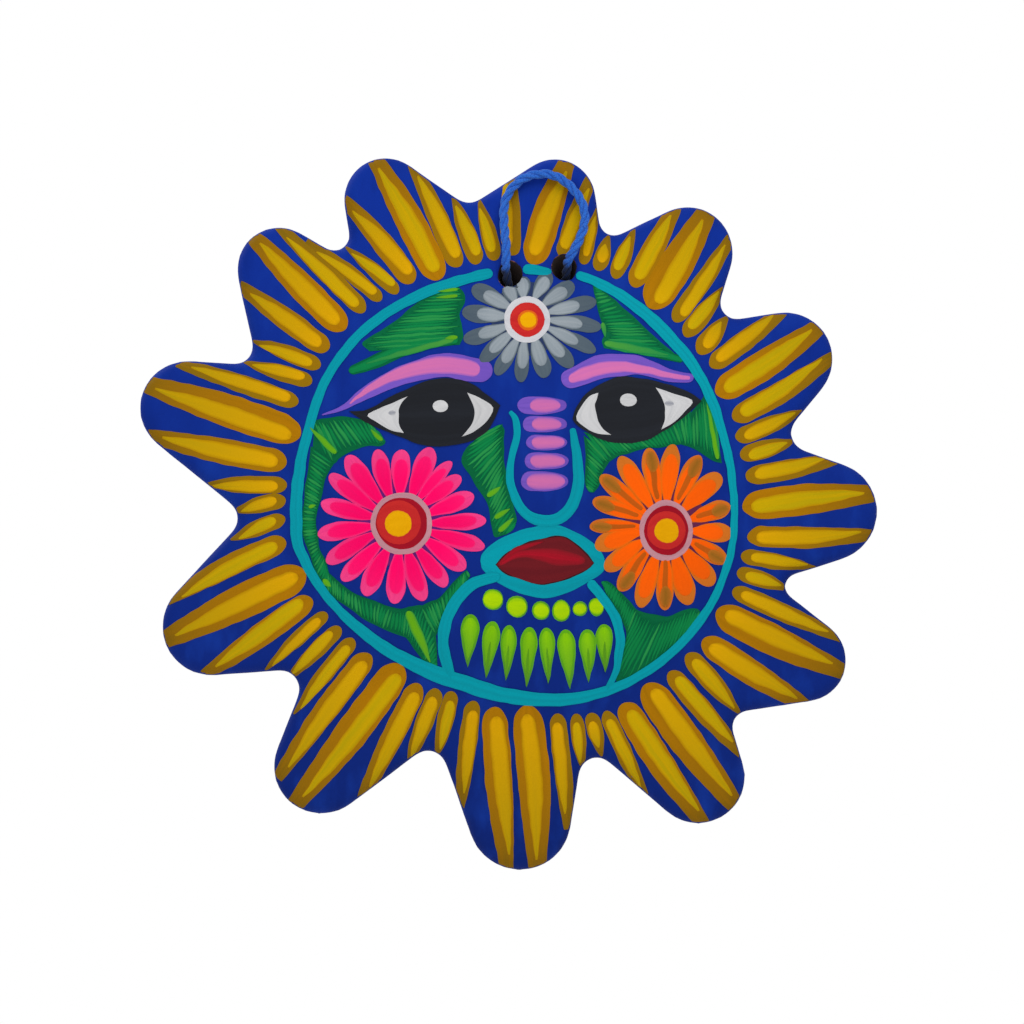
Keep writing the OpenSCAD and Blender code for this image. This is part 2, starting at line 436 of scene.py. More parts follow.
@dataclass(frozen=True)
class ClayFinish:
    """Blue ground paint on the front and sides, darker towards the bottom as painted shade, bare fired
    clay behind, and painted shade in the holes.
    """

    name: str = "blue_ground_on_terracotta"
    top_blue: str = "0b2e93"
    shaded_low_blue: str = "08216c"
    worn_blue: str = "123a9e"
    deep_blue: str = "08247a"
    clay: str = "bb6f4c"
    pale_clay: str = "cf9573"
    dark_clay: str = "a55f40"
    hole_dark: str = "2a2321"

    DEPTH = 0.22
    SHINE = 0.06

    def material(self) -> bpy.types.Material:
        """Builds the finish.

        Returns:
            A material whose paint follows the clay's "coat" attribute, and whose painted shade in
            the holes follows the "bore" attribute.
        """
        board = NodeBoard(bpy.data.materials.new(self.name))
        place = board.add("TexCoord", {})["Object"]
        height = board.add("SeparateXYZ", {}, Vector=place)["Z"]
        strokes = board.cloud(board.stretched(place, (140.0, 60.0, 60.0)), 1.0, 4.0)
        # Painted shade: the blue ground darkens towards the bottom, as if the lower part lay in shade.
        blue = board.fade(height, (-0.10, 0.08), self.shaded_low_blue, self.top_blue)
        blue = board.fade(strokes, (0.5, 0.72), blue, self.worn_blue, 0.5)
        blue = board.fade(strokes, (0.46, 0.28), blue, self.deep_blue, 0.55)
        mottle = board.cloud(board.stretched(place, (40.0, 40.0, 60.0)), 1.0, 6.0)
        dust = board.cloud(place, 18.0, 6.0)
        fleck = board.cloud(place, 1500.0, 2.0)
        clay = board.fade(mottle, (0.36, 0.62), self.dark_clay, self.clay)
        clay = board.fade(dust, (0.52, 0.78), clay, self.pale_clay, 0.45)
        clay = board.fade(fleck, (0.58, 0.7), clay, self.pale_clay, 0.4)
        # Painted shade: the hole walls are darkened to near black, standing in for the shade inside the
        # holes.
        shade_edge_noise = board.spread(fleck, 0.3, 0.7, 0.15, -0.35)
        hole_shade_mask = board.math("ADD", board.attribute("bore"), shade_edge_noise)
        clay = board.fade(hole_shade_mask, (0.1, 0.5), clay, self.hole_dark)
        fraying = board.spread(board.cloud(place, 150.0, 6.0), 0.0, 1.0, -0.75, 0.75)
        ragged = board.math("ADD", board.attribute("coat"), fraying)
        painted = board.spread(ragged, 0.46, 0.54, 0.0, 1.0)
        rough = board.spread(painted, 0.0, 1.0, 0.9, 0.74)
        board.surface(board.mix(painted, clay, blue), rough, self.SHINE)
        board.bump(strokes, board.cloud(place, 900.0, 3.0), self.DEPTH)
        return board.owner


@dataclass(frozen=True)
class CordFinish:
    """Blue spun yarn, lighter on the crowns of the strands, with painted shade where it runs inside the
    holes.
    """

    name: str = "blue_twisted_yarn"
    yarn: str = "2560c2"
    light_yarn: str = "4080da"
    dark_yarn: str = "163f98"
    shaded_yarn: str = "171b2c"

    DEPTH = 0.14
    SHINE = 0.1
    SHEEN = 0.12

    def material(self) -> bpy.types.Material:
        """Builds the finish.

        Returns:
            A material whose fibres follow each strand's own UV map.
        """
        board = NodeBoard(bpy.data.materials.new(self.name))
        coords = board.add("TexCoord", {})
        fibres = board.cloud(board.stretched(coords["UV"], (260.0, 18.0, 1.0)), 1.0, 3.0)
        fuzz = board.cloud(coords["Object"], 2600.0, 2.0)
        colour = board.fade(fibres, (0.45, 0.7), self.yarn, self.light_yarn, 0.8)
        colour = board.fade(fuzz, (0.5, 0.3), colour, self.dark_yarn, 0.8)
        # Painted shade: the yarn turns near black where it runs inside the cord holes.
        colour = board.fade(board.attribute("shade_in_holes"), (0.0, 1.0), colour, self.shaded_yarn, 0.92)
        board.surface(colour, board.spread(fuzz, 0.3, 0.7, 0.72, 0.88), self.SHINE)
        board.bump(fibres, fuzz, self.DEPTH)
        board.shader.inputs["Sheen Weight"].default_value = self.SHEEN
        return board.owner


def add_object(name: str, mesh: bpy.types.Mesh, material: bpy.types.Material) -> bpy.types.Object:
    """Puts a finished mesh in the scene at the origin.

    Args:
        name: Name of the piece.
        mesh: Its mesh, in place.
        material: Its finish.

    Returns:
        The new object.
    """
    piece = bpy.data.objects.new(name, mesh)
    bpy.context.scene.collection.objects.link(piece)
    mesh.materials.clear()
    mesh.materials.append(material)
    mesh.shade_smooth()
    return piece


class Canvas:
    """Front of the clay, on which every stroke of paint is laid."""

    START = -0.06
    FACING = 0.4
    PULL = 0.0015
    TRIES = 160

    def __init__(self, clay: bmesh.types.BMesh, mouths: Sequence[Spot], rim: float) -> None:
        """Keeps the clay's surface for finding where the brush meets it.

        Args:
            clay: The clay.
            mouths: Middles of the cord holes on the face.
            rim: Radius round them that stays free of paint.
        """
        self.tree = BVHTree.FromBMesh(clay)
        self.mouths = [Vector(mouth) for mouth in mouths]
        self.rim = rim

    def skirt(self, spot: Vector) -> Vector:
        """Moves a spot that would lie over a cord hole out to the hole's rim."""
        for mouth in self.mouths:
            away = spot - mouth
            if away.length < self.rim:
                return mouth + away.normalized() * self.rim
        return spot

    def lay(self, spot: Vector, lift: float) -> Vector:
        """Finds where a spot of paint sits on the clay.

        Args:
            spot: Place on the face, x and z in millimetres.
            lift: Height over the clay in millimetres.

        Returns:
            The point in metres. Past the edge of the clay it is drawn back towards the middle.
        """
        reach = 1.0
        for _ in range(self.TRIES):
            start = Vector((spot.x * reach * MM, self.START, spot.y * reach * MM))
            hit, normal, _, _ = self.tree.ray_cast(start, Vector((0.0, 1.0, 0.0)))
            if hit is not None and normal.y < -self.FACING:
                return hit + normal * (lift * MM)
            reach -= self.PULL
        raise ValueError(f"no clay under {tuple(spot)}")


class Coat:
    """One colour of paint on one motif: its strokes, gathered in a single closed skin."""

    GRAIN = 0.8
    CROWN = 0.08
    SINK = 0.35
    SHARP = math.radians(40.0)
    ALONG = (8, 300)
    ACROSS = (4, 14)
    WELD = 0.02
    RIPPLE = 0.3
    STRAY = 50.0
    CHANCE = 0.25
    STEPS = 40
    AHEAD = 0.02

    def __init__(
            self, name: str, paint: Paint, layer: Layer, canvas: Canvas, wander: float = 0.25) -> None:
        """Starts an empty coat.

        Args:
            name: Name of the piece.
            paint: Its paint.
            layer: How high it lies.
            canvas: The clay under it.
            wander: How far its edges stray from a drawn line, in millimetres.
        """
        self.name = name
        self.paint = paint
        self.layer = layer
        self.canvas = canvas
        self.wander = wander
        self.draw = random.Random(name)
        self.skin = bmesh.new()
        self.skin.loops.layers.uv.new("UVMap")
        self.tone = self.skin.verts.layers.float.new("tone")
        self.stray = Vector((self.draw.random(), self.draw.random(), self.draw.random())) * self.STRAY

    def sheet(self, place: Callable[[float, float], Vector], length: float, breadth: float,
              thinness: float | None = None) -> None:
        """Lays one patch of paint.

        Args:
            place: Gives the spot at a share along and a side from -1 to 1.
            length: About how long the patch is, in millimetres.
            breadth: About how broad it is.
            thinness: How much it leans to the paint's second colour, from 0 to 1, or None for chance.
        """
        along = min(max(int(length / self.GRAIN), self.ALONG[0]), self.ALONG[1])
        across = min(max(2 * int(0.5 * breadth / self.GRAIN), self.ACROSS[0]), self.ACROSS[1])
        made = bmesh.ops.create_grid(
            self.skin, x_segments=along, y_segments=across, size=1.0, calc_uvs=True)
        tone = self.draw.random()
        if thinness is not None:
            tone = (1.0 - self.CHANCE) * thinness + self.CHANCE * tone
        moved = set()
        for vert in made["verts"]:
            share = 0.5 - 0.5 * math.cos(0.5 * math.pi * (vert.co.x + 1.0))
            side = math.sin(0.5 * math.pi * vert.co.y)
            spot = place(share, side)
            ripple = Vector((spot.x, spot.y, 0.0)) * self.RIPPLE
            drift = noise.noise_vector(ripple + self.stray) * self.wander
            lift = self.layer.value + self.CROWN * (1.0 - side * side)
            meant = spot + drift.xy
            free = self.canvas.skirt(meant)
            if free is not meant:
                moved.add(vert)
            vert.co = self.canvas.lay(free, lift)
            vert[self.tone] = tone
        faces = list(dict.fromkeys(face for vert in made["verts"] for face in vert.link_faces))
        lost = [face for face in faces if moved.issuperset(face.verts)]
        faces = [face for face in faces if not moved.issuperset(face.verts)]
        for face in faces:
            face.normal_update()
        if sum(face.normal.y for face in faces) > 0.0:
            bmesh.ops.reverse_faces(self.skin, faces=faces)
        bmesh.ops.delete(self.skin, geom=lost, context="FACES")
        kept = [vert for vert in made["verts"] if vert.is_valid]
        bmesh.ops.remove_doubles(self.skin, verts=kept, dist=self.WELD * MM)

    def stroke(self, points: Sequence[Spot], halves: Sequence[float], shape: Shape = Shape.BAND,
               thinness: float | None = None) -> None:
        """Lays one brush stroke.

        Args:
            points: Spots that its middle passes through.
            halves: Half widths along it, in millimetres.
            shape: Its outline.
            thinness: How much it leans to the paint's second colour, from 0 to 1, or None for chance.
        """
        spine = [Vector(point) for point in points]
        steps = [smooth_through(spine, k / self.STEPS) for k in range(self.STEPS + 1)]
        length = sum((after - before).length for before, after in zip(steps, steps[1:]))

        def place(share: float, side: float) -> Vector:
            """Gives the spot across the stroke's middle line."""
            behind = smooth_through(spine, share - self.AHEAD)
            heading = (smooth_through(spine, share + self.AHEAD) - behind).normalized()
            half = smooth_through(halves, share) if len(halves) > 1 else halves[0]
            half *= breadth_at(shape, share, min(share, 1.0 - share) * length, half)
            return smooth_through(spine, share) + Vector((heading.y, -heading.x)) * (half * side)

        self.sheet(place, length, 2.0 * max(halves), thinness)

    def patch(self, first: Sequence[Spot], second: Sequence[Spot]) -> None:
        """Fills the space between two lines.

        Args:
            first: Spots of one edge.
            second: As many spots of the other edge.
        """
        one = [Vector(point) for point in first]
        two = [Vector(point) for point in second]
        length = max(sum((b - a).length for a, b in zip(line, line[1:])) for line in (one, two))
        breadth = max((b - a).length for a, b in zip(one, two))

        def place(share: float, side: float) -> Vector:
            """Gives the spot between the two edges."""
            return smooth_through(one, share).lerp(smooth_through(two, share), 0.5 + 0.5 * side)

        self.sheet(place, length, breadth)

    def dab(self, centre: Spot, wide: float, high: float) -> None:
        """Lays an oval dab.

        Args:
            centre: Its middle.
            wide: Its half width.
            high: Its half height.
        """
        ends = [(centre[0] - wide, centre[1]), (centre[0] + wide, centre[1])]
        self.stroke(ends, [high], Shape.DAB)

    def finish(self) -> bpy.types.Object:
        """Closes the coat, dresses it and fixes it to the plaque.

        Returns:
            The finished piece.
        """
        grown = bmesh.ops.extrude_face_region(self.skin, geom=self.skin.faces[:], use_keep_orig=True)
        under = [part for part in grown["geom"] if isinstance(part, bmesh.types.BMVert)]
        bmesh.ops.translate(self.skin, verts=under, vec=(0.0, self.SINK * MM, 0.0))
        bmesh.ops.recalc_face_normals(self.skin, faces=self.skin.faces[:])
        mesh = bpy.data.meshes.new(self.name)
        self.skin.to_mesh(mesh)
        self.skin.free()
        piece = add_object(self.name, mesh, self.paint.material())
        mesh.set_sharp_from_angle(angle=self.SHARP)
        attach(piece, PLAQUE)
        LOG.info("%s: %d faces", self.name, len(mesh.polygons))
        return piece


@dataclass
class ClaySun:
    """The fired clay itself, with a hand's unevenness and its ground of blue paint."""

    name: str = "clay_sun"
    voxel: float = 0.9
    unevenness: float = 0.28
    pressing: float = 0.55
    holes: tuple[Place, ...] = ((-1.9, -12.7, 58.0), (12.9, -11.7, 59.7))
    hole_radius: float = 3.25
    hole_slope: float = 42.0
    hole_narrowing: float = 0.135
    hole_rim: float = 0.45
    rim_bare: float = 0.1
    rim_fade: float = 0.8
    paint_edge: Spot = (0.45, 0.5)
    weld: float = 0.001
    softenings: int = 3
    softness: float = 0.5
    waves: Spot = (55.0, 160.0)
    slow_share: float = 0.75
    back_turn: float = 0.5
    land: float = 0.4
    finish: ClayFinish = field(default_factory=ClayFinish)

    def build(self) -> bpy.types.Object:
        """Makes the clay from the solid of the plaque.

        Returns:
            The piece, in place of its solid.
        """
        clay = bmesh.new()
        clay.from_mesh(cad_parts["sun_plaque"].data)
        bmesh.ops.remove_doubles(clay, verts=clay.verts[:], dist=self.weld * MM)
        mesh = bpy.data.meshes.new(self.name)
        clay.to_mesh(mesh)
        clay.free()
        piece = add_object(self.name, mesh, self.finish.material())
        remesh = piece.modifiers.new("even_clay", "REMESH")
        remesh.mode = "VOXEL"
        remesh.voxel_size = self.voxel * MM
        graph = bpy.context.evaluated_depsgraph_get()
        even = bpy.data.meshes.new_from_object(piece.evaluated_get(graph))
        piece.modifiers.clear()
        self.work_by_hand(even)
        piece.data = even
        bpy.data.meshes.remove(mesh)
        even.name = self.name
        even.materials.clear()
        even.materials.append(bpy.data.materials[self.finish.name])
        even.shade_smooth()
        return piece

    def work_by_hand(self, mesh: bpy.types.Mesh) -> None:
        """Softens the clay, gives it a slow unevenness and marks where paint reached.

        Args:
            mesh: The clay's mesh, changed in place.
        """
        clay = bmesh.new()
        clay.from_mesh(mesh)
        for _ in range(self.softenings):
            bmesh.ops.smooth_vert(
                clay, verts=clay.verts[:], factor=self.softness, use_axis_x=True, use_axis_y=True,
                use_axis_z=True)
        clay.normal_update()
        coat = clay.verts.layers.float.new("coat")
        bore = clay.verts.layers.float.new("bore")
        bare, turn = self.paint_edge
        for vert in clay.verts:
            slow, quick = [noise.noise(vert.co * wave) for wave in self.waves]
            if vert.co.y < -self.land * MM:
                depth = self.pressing if vert.normal.y > self.back_turn else self.unevenness
                swell = slow * self.slow_share + quick * (1.0 - self.slow_share)
                vert.co += vert.normal * (swell * depth * MM)
            beyond, _ = self.past_hole(vert.co)
            vert[coat] = min((bare - vert.normal.y) / turn, (beyond + self.rim_bare) / self.rim_fade, 1.0)
            vert[bore] = 1.0 - min(max(beyond / self.rim_fade, 0.0), 1.0)
        clay.normal_update()
        clay.to_mesh(mesh)
        clay.free()

    def past_hole(self, place: Vector) -> Spot:
        """Measures how a place lies to the nearer cord hole.

        Args:
            place: The place, in metres.

        Returns:
            Millimetres past the hole's wall, at or below 0 on it, and millimetres in from
            the hole's mouth.
        """
        slope = math.radians(self.hole_slope)
        axis = Vector((0.0, math.cos(slope), -math.sin(slope)))
        found = []
        for hole in self.holes:
            offset = place / MM - Vector(hole)
            depth = offset.dot(axis)
            gap = (offset - axis * depth).length - self.hole_radius + self.hole_narrowing * depth
            found.append((gap, depth))
        return min(found)

    def canvas(self, piece: bpy.types.Object) -> Canvas:
        """Makes the clay ready for paint.

        Args:
            piece: The clay.

        Returns:
            Its surface, with the cord holes left free.
        """
        surface = bmesh.new()
        surface.from_mesh(piece.data)
        mouths = [(hole[0], hole[2]) for hole in self.holes]
        canvas = Canvas(surface, mouths, self.hole_radius + self.hole_rim)
        surface.free()
        return canvas

    def dress(self, piece: bpy.types.Object) -> None:
        """Fixes the clay to its body."""
        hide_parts("sun_plaque")
        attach(piece, PLAQUE)
        LOG.info("%s: %d faces", piece.name, len(piece.data.polygons))


@dataclass
class FaceRing:
    """Turquoise line round the face, drawn in two sweeps between the cord holes."""

    step: float = 15.0
    radii: tuple[float, ...] = (
        59.0, 60.0, 59.0, 58.0, 58.0, 57.5, 58.5, 60.5, 61.5, 61.5, 61.0, 59.5,
        57.0, 55.0, 55.5, 57.0, 59.5, 61.5, 59.5, 58.5, 59.5, 59.5, 58.5, 58.0)
    long_sweep: Spot = (15.5, 353.5)
    short_sweep: Spot = (1.5, 9.0)
    halves: tuple[float, ...] = (
        1.1, 1.7, 1.4, 1.1, 1.0, 1.2, 1.3, 1.8, 2.2, 1.8, 1.2, 1.7, 1.3, 1.3, 1.4, 1.4)
    short_halves: tuple[float, ...] = (1.4, 1.4, 1.2, 0.8)
    long_steps: int = 72
    short_steps: int = 4
    paint: Paint = TURQUOISE

    def radius(self, degrees: float) -> float:
        """Gives the line's radius at an angle.

        Args:
            degrees: Angle clockwise from up.

        Returns:
            The radius in millimetres.
        """
        place = (degrees % 360.0) / self.step
        low = int(place)
        count = len(self.radii)
        near = self.radii[low % count]
        return near + (self.radii[(low + 1) % count] - near) * (place - low)

    def build(self, canvas: Canvas) -> list[Coat]:
        """Paints the ring.

        Args:
            canvas: The clay to paint on.

        Returns:
            Its coats.
        """
        coat = Coat("face_ring", self.paint, Layer.OVER, canvas)
        angles = self.angles(self.long_sweep, self.long_steps)
        coat.stroke([polar(angle, self.radius(angle)) for angle in angles], self.halves)
        angles = self.angles(self.short_sweep, self.short_steps)
        coat.stroke([polar(angle, self.radius(angles[0])) for angle in angles], self.short_halves)
        return [coat]

    @staticmethod
    def angles(sweep: Spot, steps: int) -> list[float]:
        """Gives evenly spaced angles from one end of a sweep to the other."""
        return [sweep[0] + (sweep[1] - sweep[0]) * k / steps for k in range(steps + 1)]


@dataclass
class RayStrokes:
    """Ochre brush marks that fan out over the rays, each with a lighter mark on it."""

    ring: FaceRing
    broad: float = 8.0
    thinning: float = 3.0
    long_reach: float = 86.0
    broad_foot: float = 1.8
    long_foot: float = 3.8
    short_foot: float = 3.1
    light_foot: float = 2.4
    long_tip: float = 3.0
    short_tip: float = 1.2
    light_share: float = 0.7
    light_brush: float = 4.8
    aside: float = 0.1
    aside_shares: Place = (1.0, 0.7, 0.4)
    past: float = 1.2
    marks: tuple[tuple[float, ...], ...] = (
        (-27, -31, 90.5, 6, 1), (-20.5, -23.5, 97.5, 8, 0), (-15, -18, 92, 5.5, 1),
        (-10, -12.5, 79.5, 5, 1), (-5.5, -7.5, 77.5, 4.5, -1), (-1, -1.5, 87, 5, -3),
        (4, 9, 90, 8, 0, 0, -0.5), (11, 13.5, 86.5, 5, 0), (16.5, 16, 78, 3.5, 0),
        (20.5, 20, 71.5, 4.5, 0), (25, 24.5, 76, 4.5, -1), (30, 29.5, 88, 6, 0),
        (36.5, 34.5, 91.5, 9.5, 1), (43.5, 40.5, 90, 5, 1), (48, 46, 77.5, 5, -1),
        (53.5, 51, 72.5, 5.5, 0), (58, 56.5, 87, 5.5, -1), (65, 62, 94, 8, 0),
        (72.5, 67.5, 93, 6, -1), (77.5, 75, 79.5, 5, 0), (82, 80.5, 75.5, 5, 1),
        (87.5, 85, 87, 5.5, -1), (95, 91, 97.5, 8.5, 0, -0.7, 0.5), (102, 97.5, 97.5, 6, 0),
        (107, 105, 83, 4.5, -1), (111, 110.5, 78, 4.5, 0), (115.5, 115, 96.5, 5, 0),
        (122, 119.5, 101.5, 8.5, -1, 0, 0.5), (129.5, 127, 98.5, 7, 0), (134.5, 135.5, 85.5, 5.5, 0),
        (140.5, 140, 94, 5.5, -1), (147, 145.5, 105.5, 9, -1, 0, 1), (154, 151, 104, 7.5, -1, 0, 1),
        (158.5, 157.5, 91.5, 4.5, 0, 0, 1.5), (162, 162.5, 75.5, 4.5, 1, 0, 1.5),
        (165.5, 167, 78, 4, 1, 0, 1), (170, 171.5, 93, 5, 1), (177.5, 177, 104.5, 9, 0, -0.6),
        (186, 181.5, 103, 7.5, -1, -0.4), (191.5, 190, 87.5, 5, -1), (197.5, 196.5, 75.5, 4.5, -1),
        (201.5, 201.5, 80.5, 5, 0, 0, 0.5), (206.5, 206.5, 94, 6, -1, 0, 0.5),
        (213, 215, 105.5, 9, -1), (221.5, 219.5, 101.5, 6.5, -1), (227, 224.5, 85.5, 4.5, -1),
        (231.5, 230, 81, 4.5, 1), (236.5, 234, 83.5, 4, -1), (241.5, 239, 98.5, 6.5, 1, -0.4),
        (248, 246.5, 104.5, 9.5, 0, 0, -0.5), (257, 252, 99, 6, -1, 0, -0.5),
        (262.5, 259.5, 78, 4.5, 0), (267, 265, 76.5, 4.5, 0), (270.5, 270.5, 84, 5, -1),
        (276, 278, 100.5, 7, 0), (283.5, 285.5, 105, 9, -1, 0.4), (291, 290, 97.5, 5, 1, 0, 1),
        (297, 294.5, 80.5, 4.5, 1), (301.5, 299, 81, 4.5, -1), (306, 306, 92.5, 6, 0),
        (312.5, 313.5, 99.5, 7.5, 0), (319, 317.5, 95.5, 5, -1), (324, 319.5, 87, 4, 0),
        (328.5, 324.5, 79, 4, 1))
    dark: Paint = Paint(
        "ochre_ray_mark", "b07600", "9a6a06", "745a0c", second="8f6c06", run=(0.35, 0.9))
    light: Paint = Paint(
        "yellow_ray_mark", "e2a600", "d0a000", "a48e04", second="c0a200", run=(0.05, 0.85),
        edge="b08000", soft=0.6)

    def build(self, canvas: Canvas) -> list[Coat]:
        """Paints the marks.

        Each mark is its foot's angle, its tip's angle, its tip's radius, its width and the side
        its light lies on. Some add the angle their middle lies aside, and some of these how much
        further out their foot is. The broad marks start near the ring, the others further out.

        Args:
            canvas: The clay to paint on.

        Returns:
            Their coats.
        """
        under = Coat("ray_marks_ochre", self.dark, Layer.UNDER, canvas)
        over = Coat("ray_marks_yellow", self.light, Layer.BODY, canvas)
        for foot, tip, reach, width, side, *more in self.marks:
            long = reach > self.long_reach
            gap = self.broad_foot if width >= self.broad else self.long_foot if long else self.short_foot
            base = self.ring.radius(foot) + gap + sum(more[1:])
            shape = Shape.MARK if long else Shape.TAPER
            thinness = min(max((self.broad - width) / self.thinning, 0.0), 1.0)
            middle = 0.5 * (foot + tip) + sum(more[:1])
            turns = (foot, middle, tip)
            under.stroke(bowed(turns, base, reach + self.past), [0.5 * width], shape, thinness)
            aside = math.degrees(self.aside * width * side / base)
            turns = [turn + share * aside for turn, share in zip(turns, self.aside_shares)]
            end = reach - (self.long_tip if long else self.short_tip)
            half = 0.5 * min(width * self.light_share, self.light_brush)
            over.stroke(bowed(turns, base + self.light_foot, end), [half], Shape.TAPER)
        return [under, over]


@dataclass
class Flower:
    """A round flower: two-tone petals on a dark ground, a pale ring, a red disc and a yellow eye."""

    name: str
    centre: Spot
    heart: Spot
    start: float
    petals: tuple[tuple[float, ...], ...]
    ground_radius: float
    ring: Spot
    red: float
    red_centre: Spot
    eye: float
    eye_centre: Spot
    light_reach: Spot
    light_share: float
    outer: Paint
    inner: Paint
    ground: Paint
    ring_paint: Paint
    burnt: tuple[int, ...] = ()
    stretch: float = 1.0
    burn_gap: float = 0.3
    burn_reach: float = 0.8
    burn_shares: Spot = (0.12, 0.2)
    tip_reach: Spot = (0.7, 0.96)
    tip_share: float = 0.32
    shade_paint: Paint = Paint("flower_dark_red", "a00f23", "8c1222", "980f22")
    red_paint: Paint = Paint("flower_red", "c52a28", "b82426", "c02828")
    eye_paint: Paint = Paint(
        "flower_yellow", "e5a500", "dc9a00", "e2a200", edge="da7a14", soft=0.3, fade=0.16)
    burnt_paint: Paint = Paint(
        "burnt_orange", "bc560f", "b0540f", "a85c16", edge="e4640e", soft=0.5, fade=0.1)
    brown_paint: Paint = Paint(
        "brown_tip", "946019", "8a5c1c", "8c5e1c", edge="bc6a20", soft=1.0, fade=0.6)

    def build(self, canvas: Canvas) -> list[Coat]:
        """Paints the flower.

        Each petal is its foot's angle, its tip's angle, its reach and its width. Burnt petals
        have a brown stroke along them and a brown tip.

        Args:
            canvas: The clay to paint on.

        Returns:
            Its coats.
        """
        ground = Coat(self.name + "_ground", self.ground, Layer.UNDER, canvas)
        ground.dab(self.centre, self.ground_radius, self.ground_radius)
        outer = Coat(self.name + "_petals", self.outer, Layer.BODY, canvas)
        inner = Coat(self.name + "_petal_lights", self.inner, Layer.OVER, canvas)
        for foot, tip, reach, width in self.petals:
            turns = (foot, 0.5 * (foot + tip), tip)
            half = 0.5 * width
            top = self.light_reach[0] + self.light_reach[1] * reach
            outer.stroke(bowed(turns, self.start, reach, self.centre), [half], Shape.PETAL)
            line = bowed(turns, self.start, top, self.centre)
            inner.stroke(line, [half * self.light_share], Shape.PETAL)
        ring = Coat(self.name + "_ring", self.ring_paint, Layer.TOP, canvas)
        ring.dab(self.heart, self.ring[0], self.stretch * self.ring[0])
        shade = Coat(self.name + "_dark_red", self.shade_paint, Layer.DISC, canvas)
        shade.dab(self.heart, self.ring[1], self.stretch * self.ring[1])
        red = Coat(self.name + "_red", self.red_paint, Layer.HEART, canvas)
        red.dab(self.red_centre, self.red, self.red)
        eye = Coat(self.name + "_eye", self.eye_paint, Layer.EYE, canvas)
        eye.dab(self.eye_centre, self.eye, self.eye)
        return [ground, outer, inner, ring, shade, red, eye] + self.burn(canvas)

    def burn(self, canvas: Canvas) -> list[Coat]:
        """Paints the brown on the burnt petals.

        Args:
            canvas: The clay to paint on.

        Returns:
            Two coats, or none.
        """
        if not self.burnt:
            return []
        streaks = Coat(self.name + "_streaks", self.burnt_paint, Layer.TOP, canvas)
        tips = Coat(self.name + "_brown_tips", self.brown_paint, Layer.DISC, canvas)
        for place in self.burnt:
            foot, tip, reach, width = self.petals[place]
            base = self.stretch * self.ring[0] + self.burn_gap
            turns = (foot, 0.5 * (foot + tip), tip)
            line = bowed(turns, base, self.burn_reach * reach, self.centre)
            streaks.stroke(line, [share * width for share in self.burn_shares])
            ends = [polar(tip, share * reach, self.centre) for share in self.tip_reach]
            tips.stroke(ends, [self.tip_share * width], Shape.DAB)
        return [streaks, tips]


@dataclass
class Brows:
    """Two purple eyebrows, each with a pink stroke on it."""

    purple_left: tuple[Spot, ...] = (
        (-53, 19.5), (-47, 21.5), (-41, 25.5), (-33, 29.5), (-27, 31.5), (-20, 33), (-13.5, 32),
        (-6.5, 31))
    purple_left_halves: tuple[float, ...] = (0.2, 0.7, 1.7, 2.4, 2.8, 3.2, 3.3, 2.8)
    pink_left: tuple[Spot, ...] = (
        (-45.5, 22.5), (-39.5, 27), (-33.5, 30), (-27.5, 32), (-21, 33), (-15, 32.5), (-10, 31.5))
    pink_left_halves: tuple[float, ...] = (0.2, 1.0, 1.5, 2.0, 2.4, 2.3, 2.0)
    purple_right: tuple[Spot, ...] = (
        (12, 28.5), (16.5, 30), (22.5, 32.5), (28, 33), (33, 33), (37.5, 31.5), (42, 30), (48, 29.5))
    purple_right_halves: tuple[float, ...] = (2.2, 2.8, 3.2, 3.0, 2.5, 2.0, 1.6, 1.2)
    pink_right: tuple[Spot, ...] = (
        (14, 29), (18, 30.5), (22.5, 32), (28, 32.5), (33.5, 32), (38, 31), (42.5, 30), (47, 29.5))
    pink_right_halves: tuple[float, ...] = (1.2, 1.8, 1.8, 1.6, 1.2, 1.0, 0.8, 0.5)
    purple: Paint = PURPLE
    pink: Paint = Paint("pink_brow", "d06eaa", "be68b2", "ca6cae", edge="8c5cba", soft=0.5, fade=0.1)

    def build(self, canvas: Canvas) -> list[Coat]:
        """Paints the brows.

        Args:
            canvas: The clay to paint on.

        Returns:
            Their coats.
        """
        under = Coat("brows_purple", self.purple, Layer.BODY, canvas)
        under.stroke(self.purple_left, self.purple_left_halves)
        under.stroke(self.purple_right, self.purple_right_halves)
        over = Coat("brows_pink", self.pink, Layer.OVER, canvas)
        over.stroke(self.pink_left, self.pink_left_halves)
        over.stroke(self.pink_right, self.pink_right_halves)
        return [under, over]


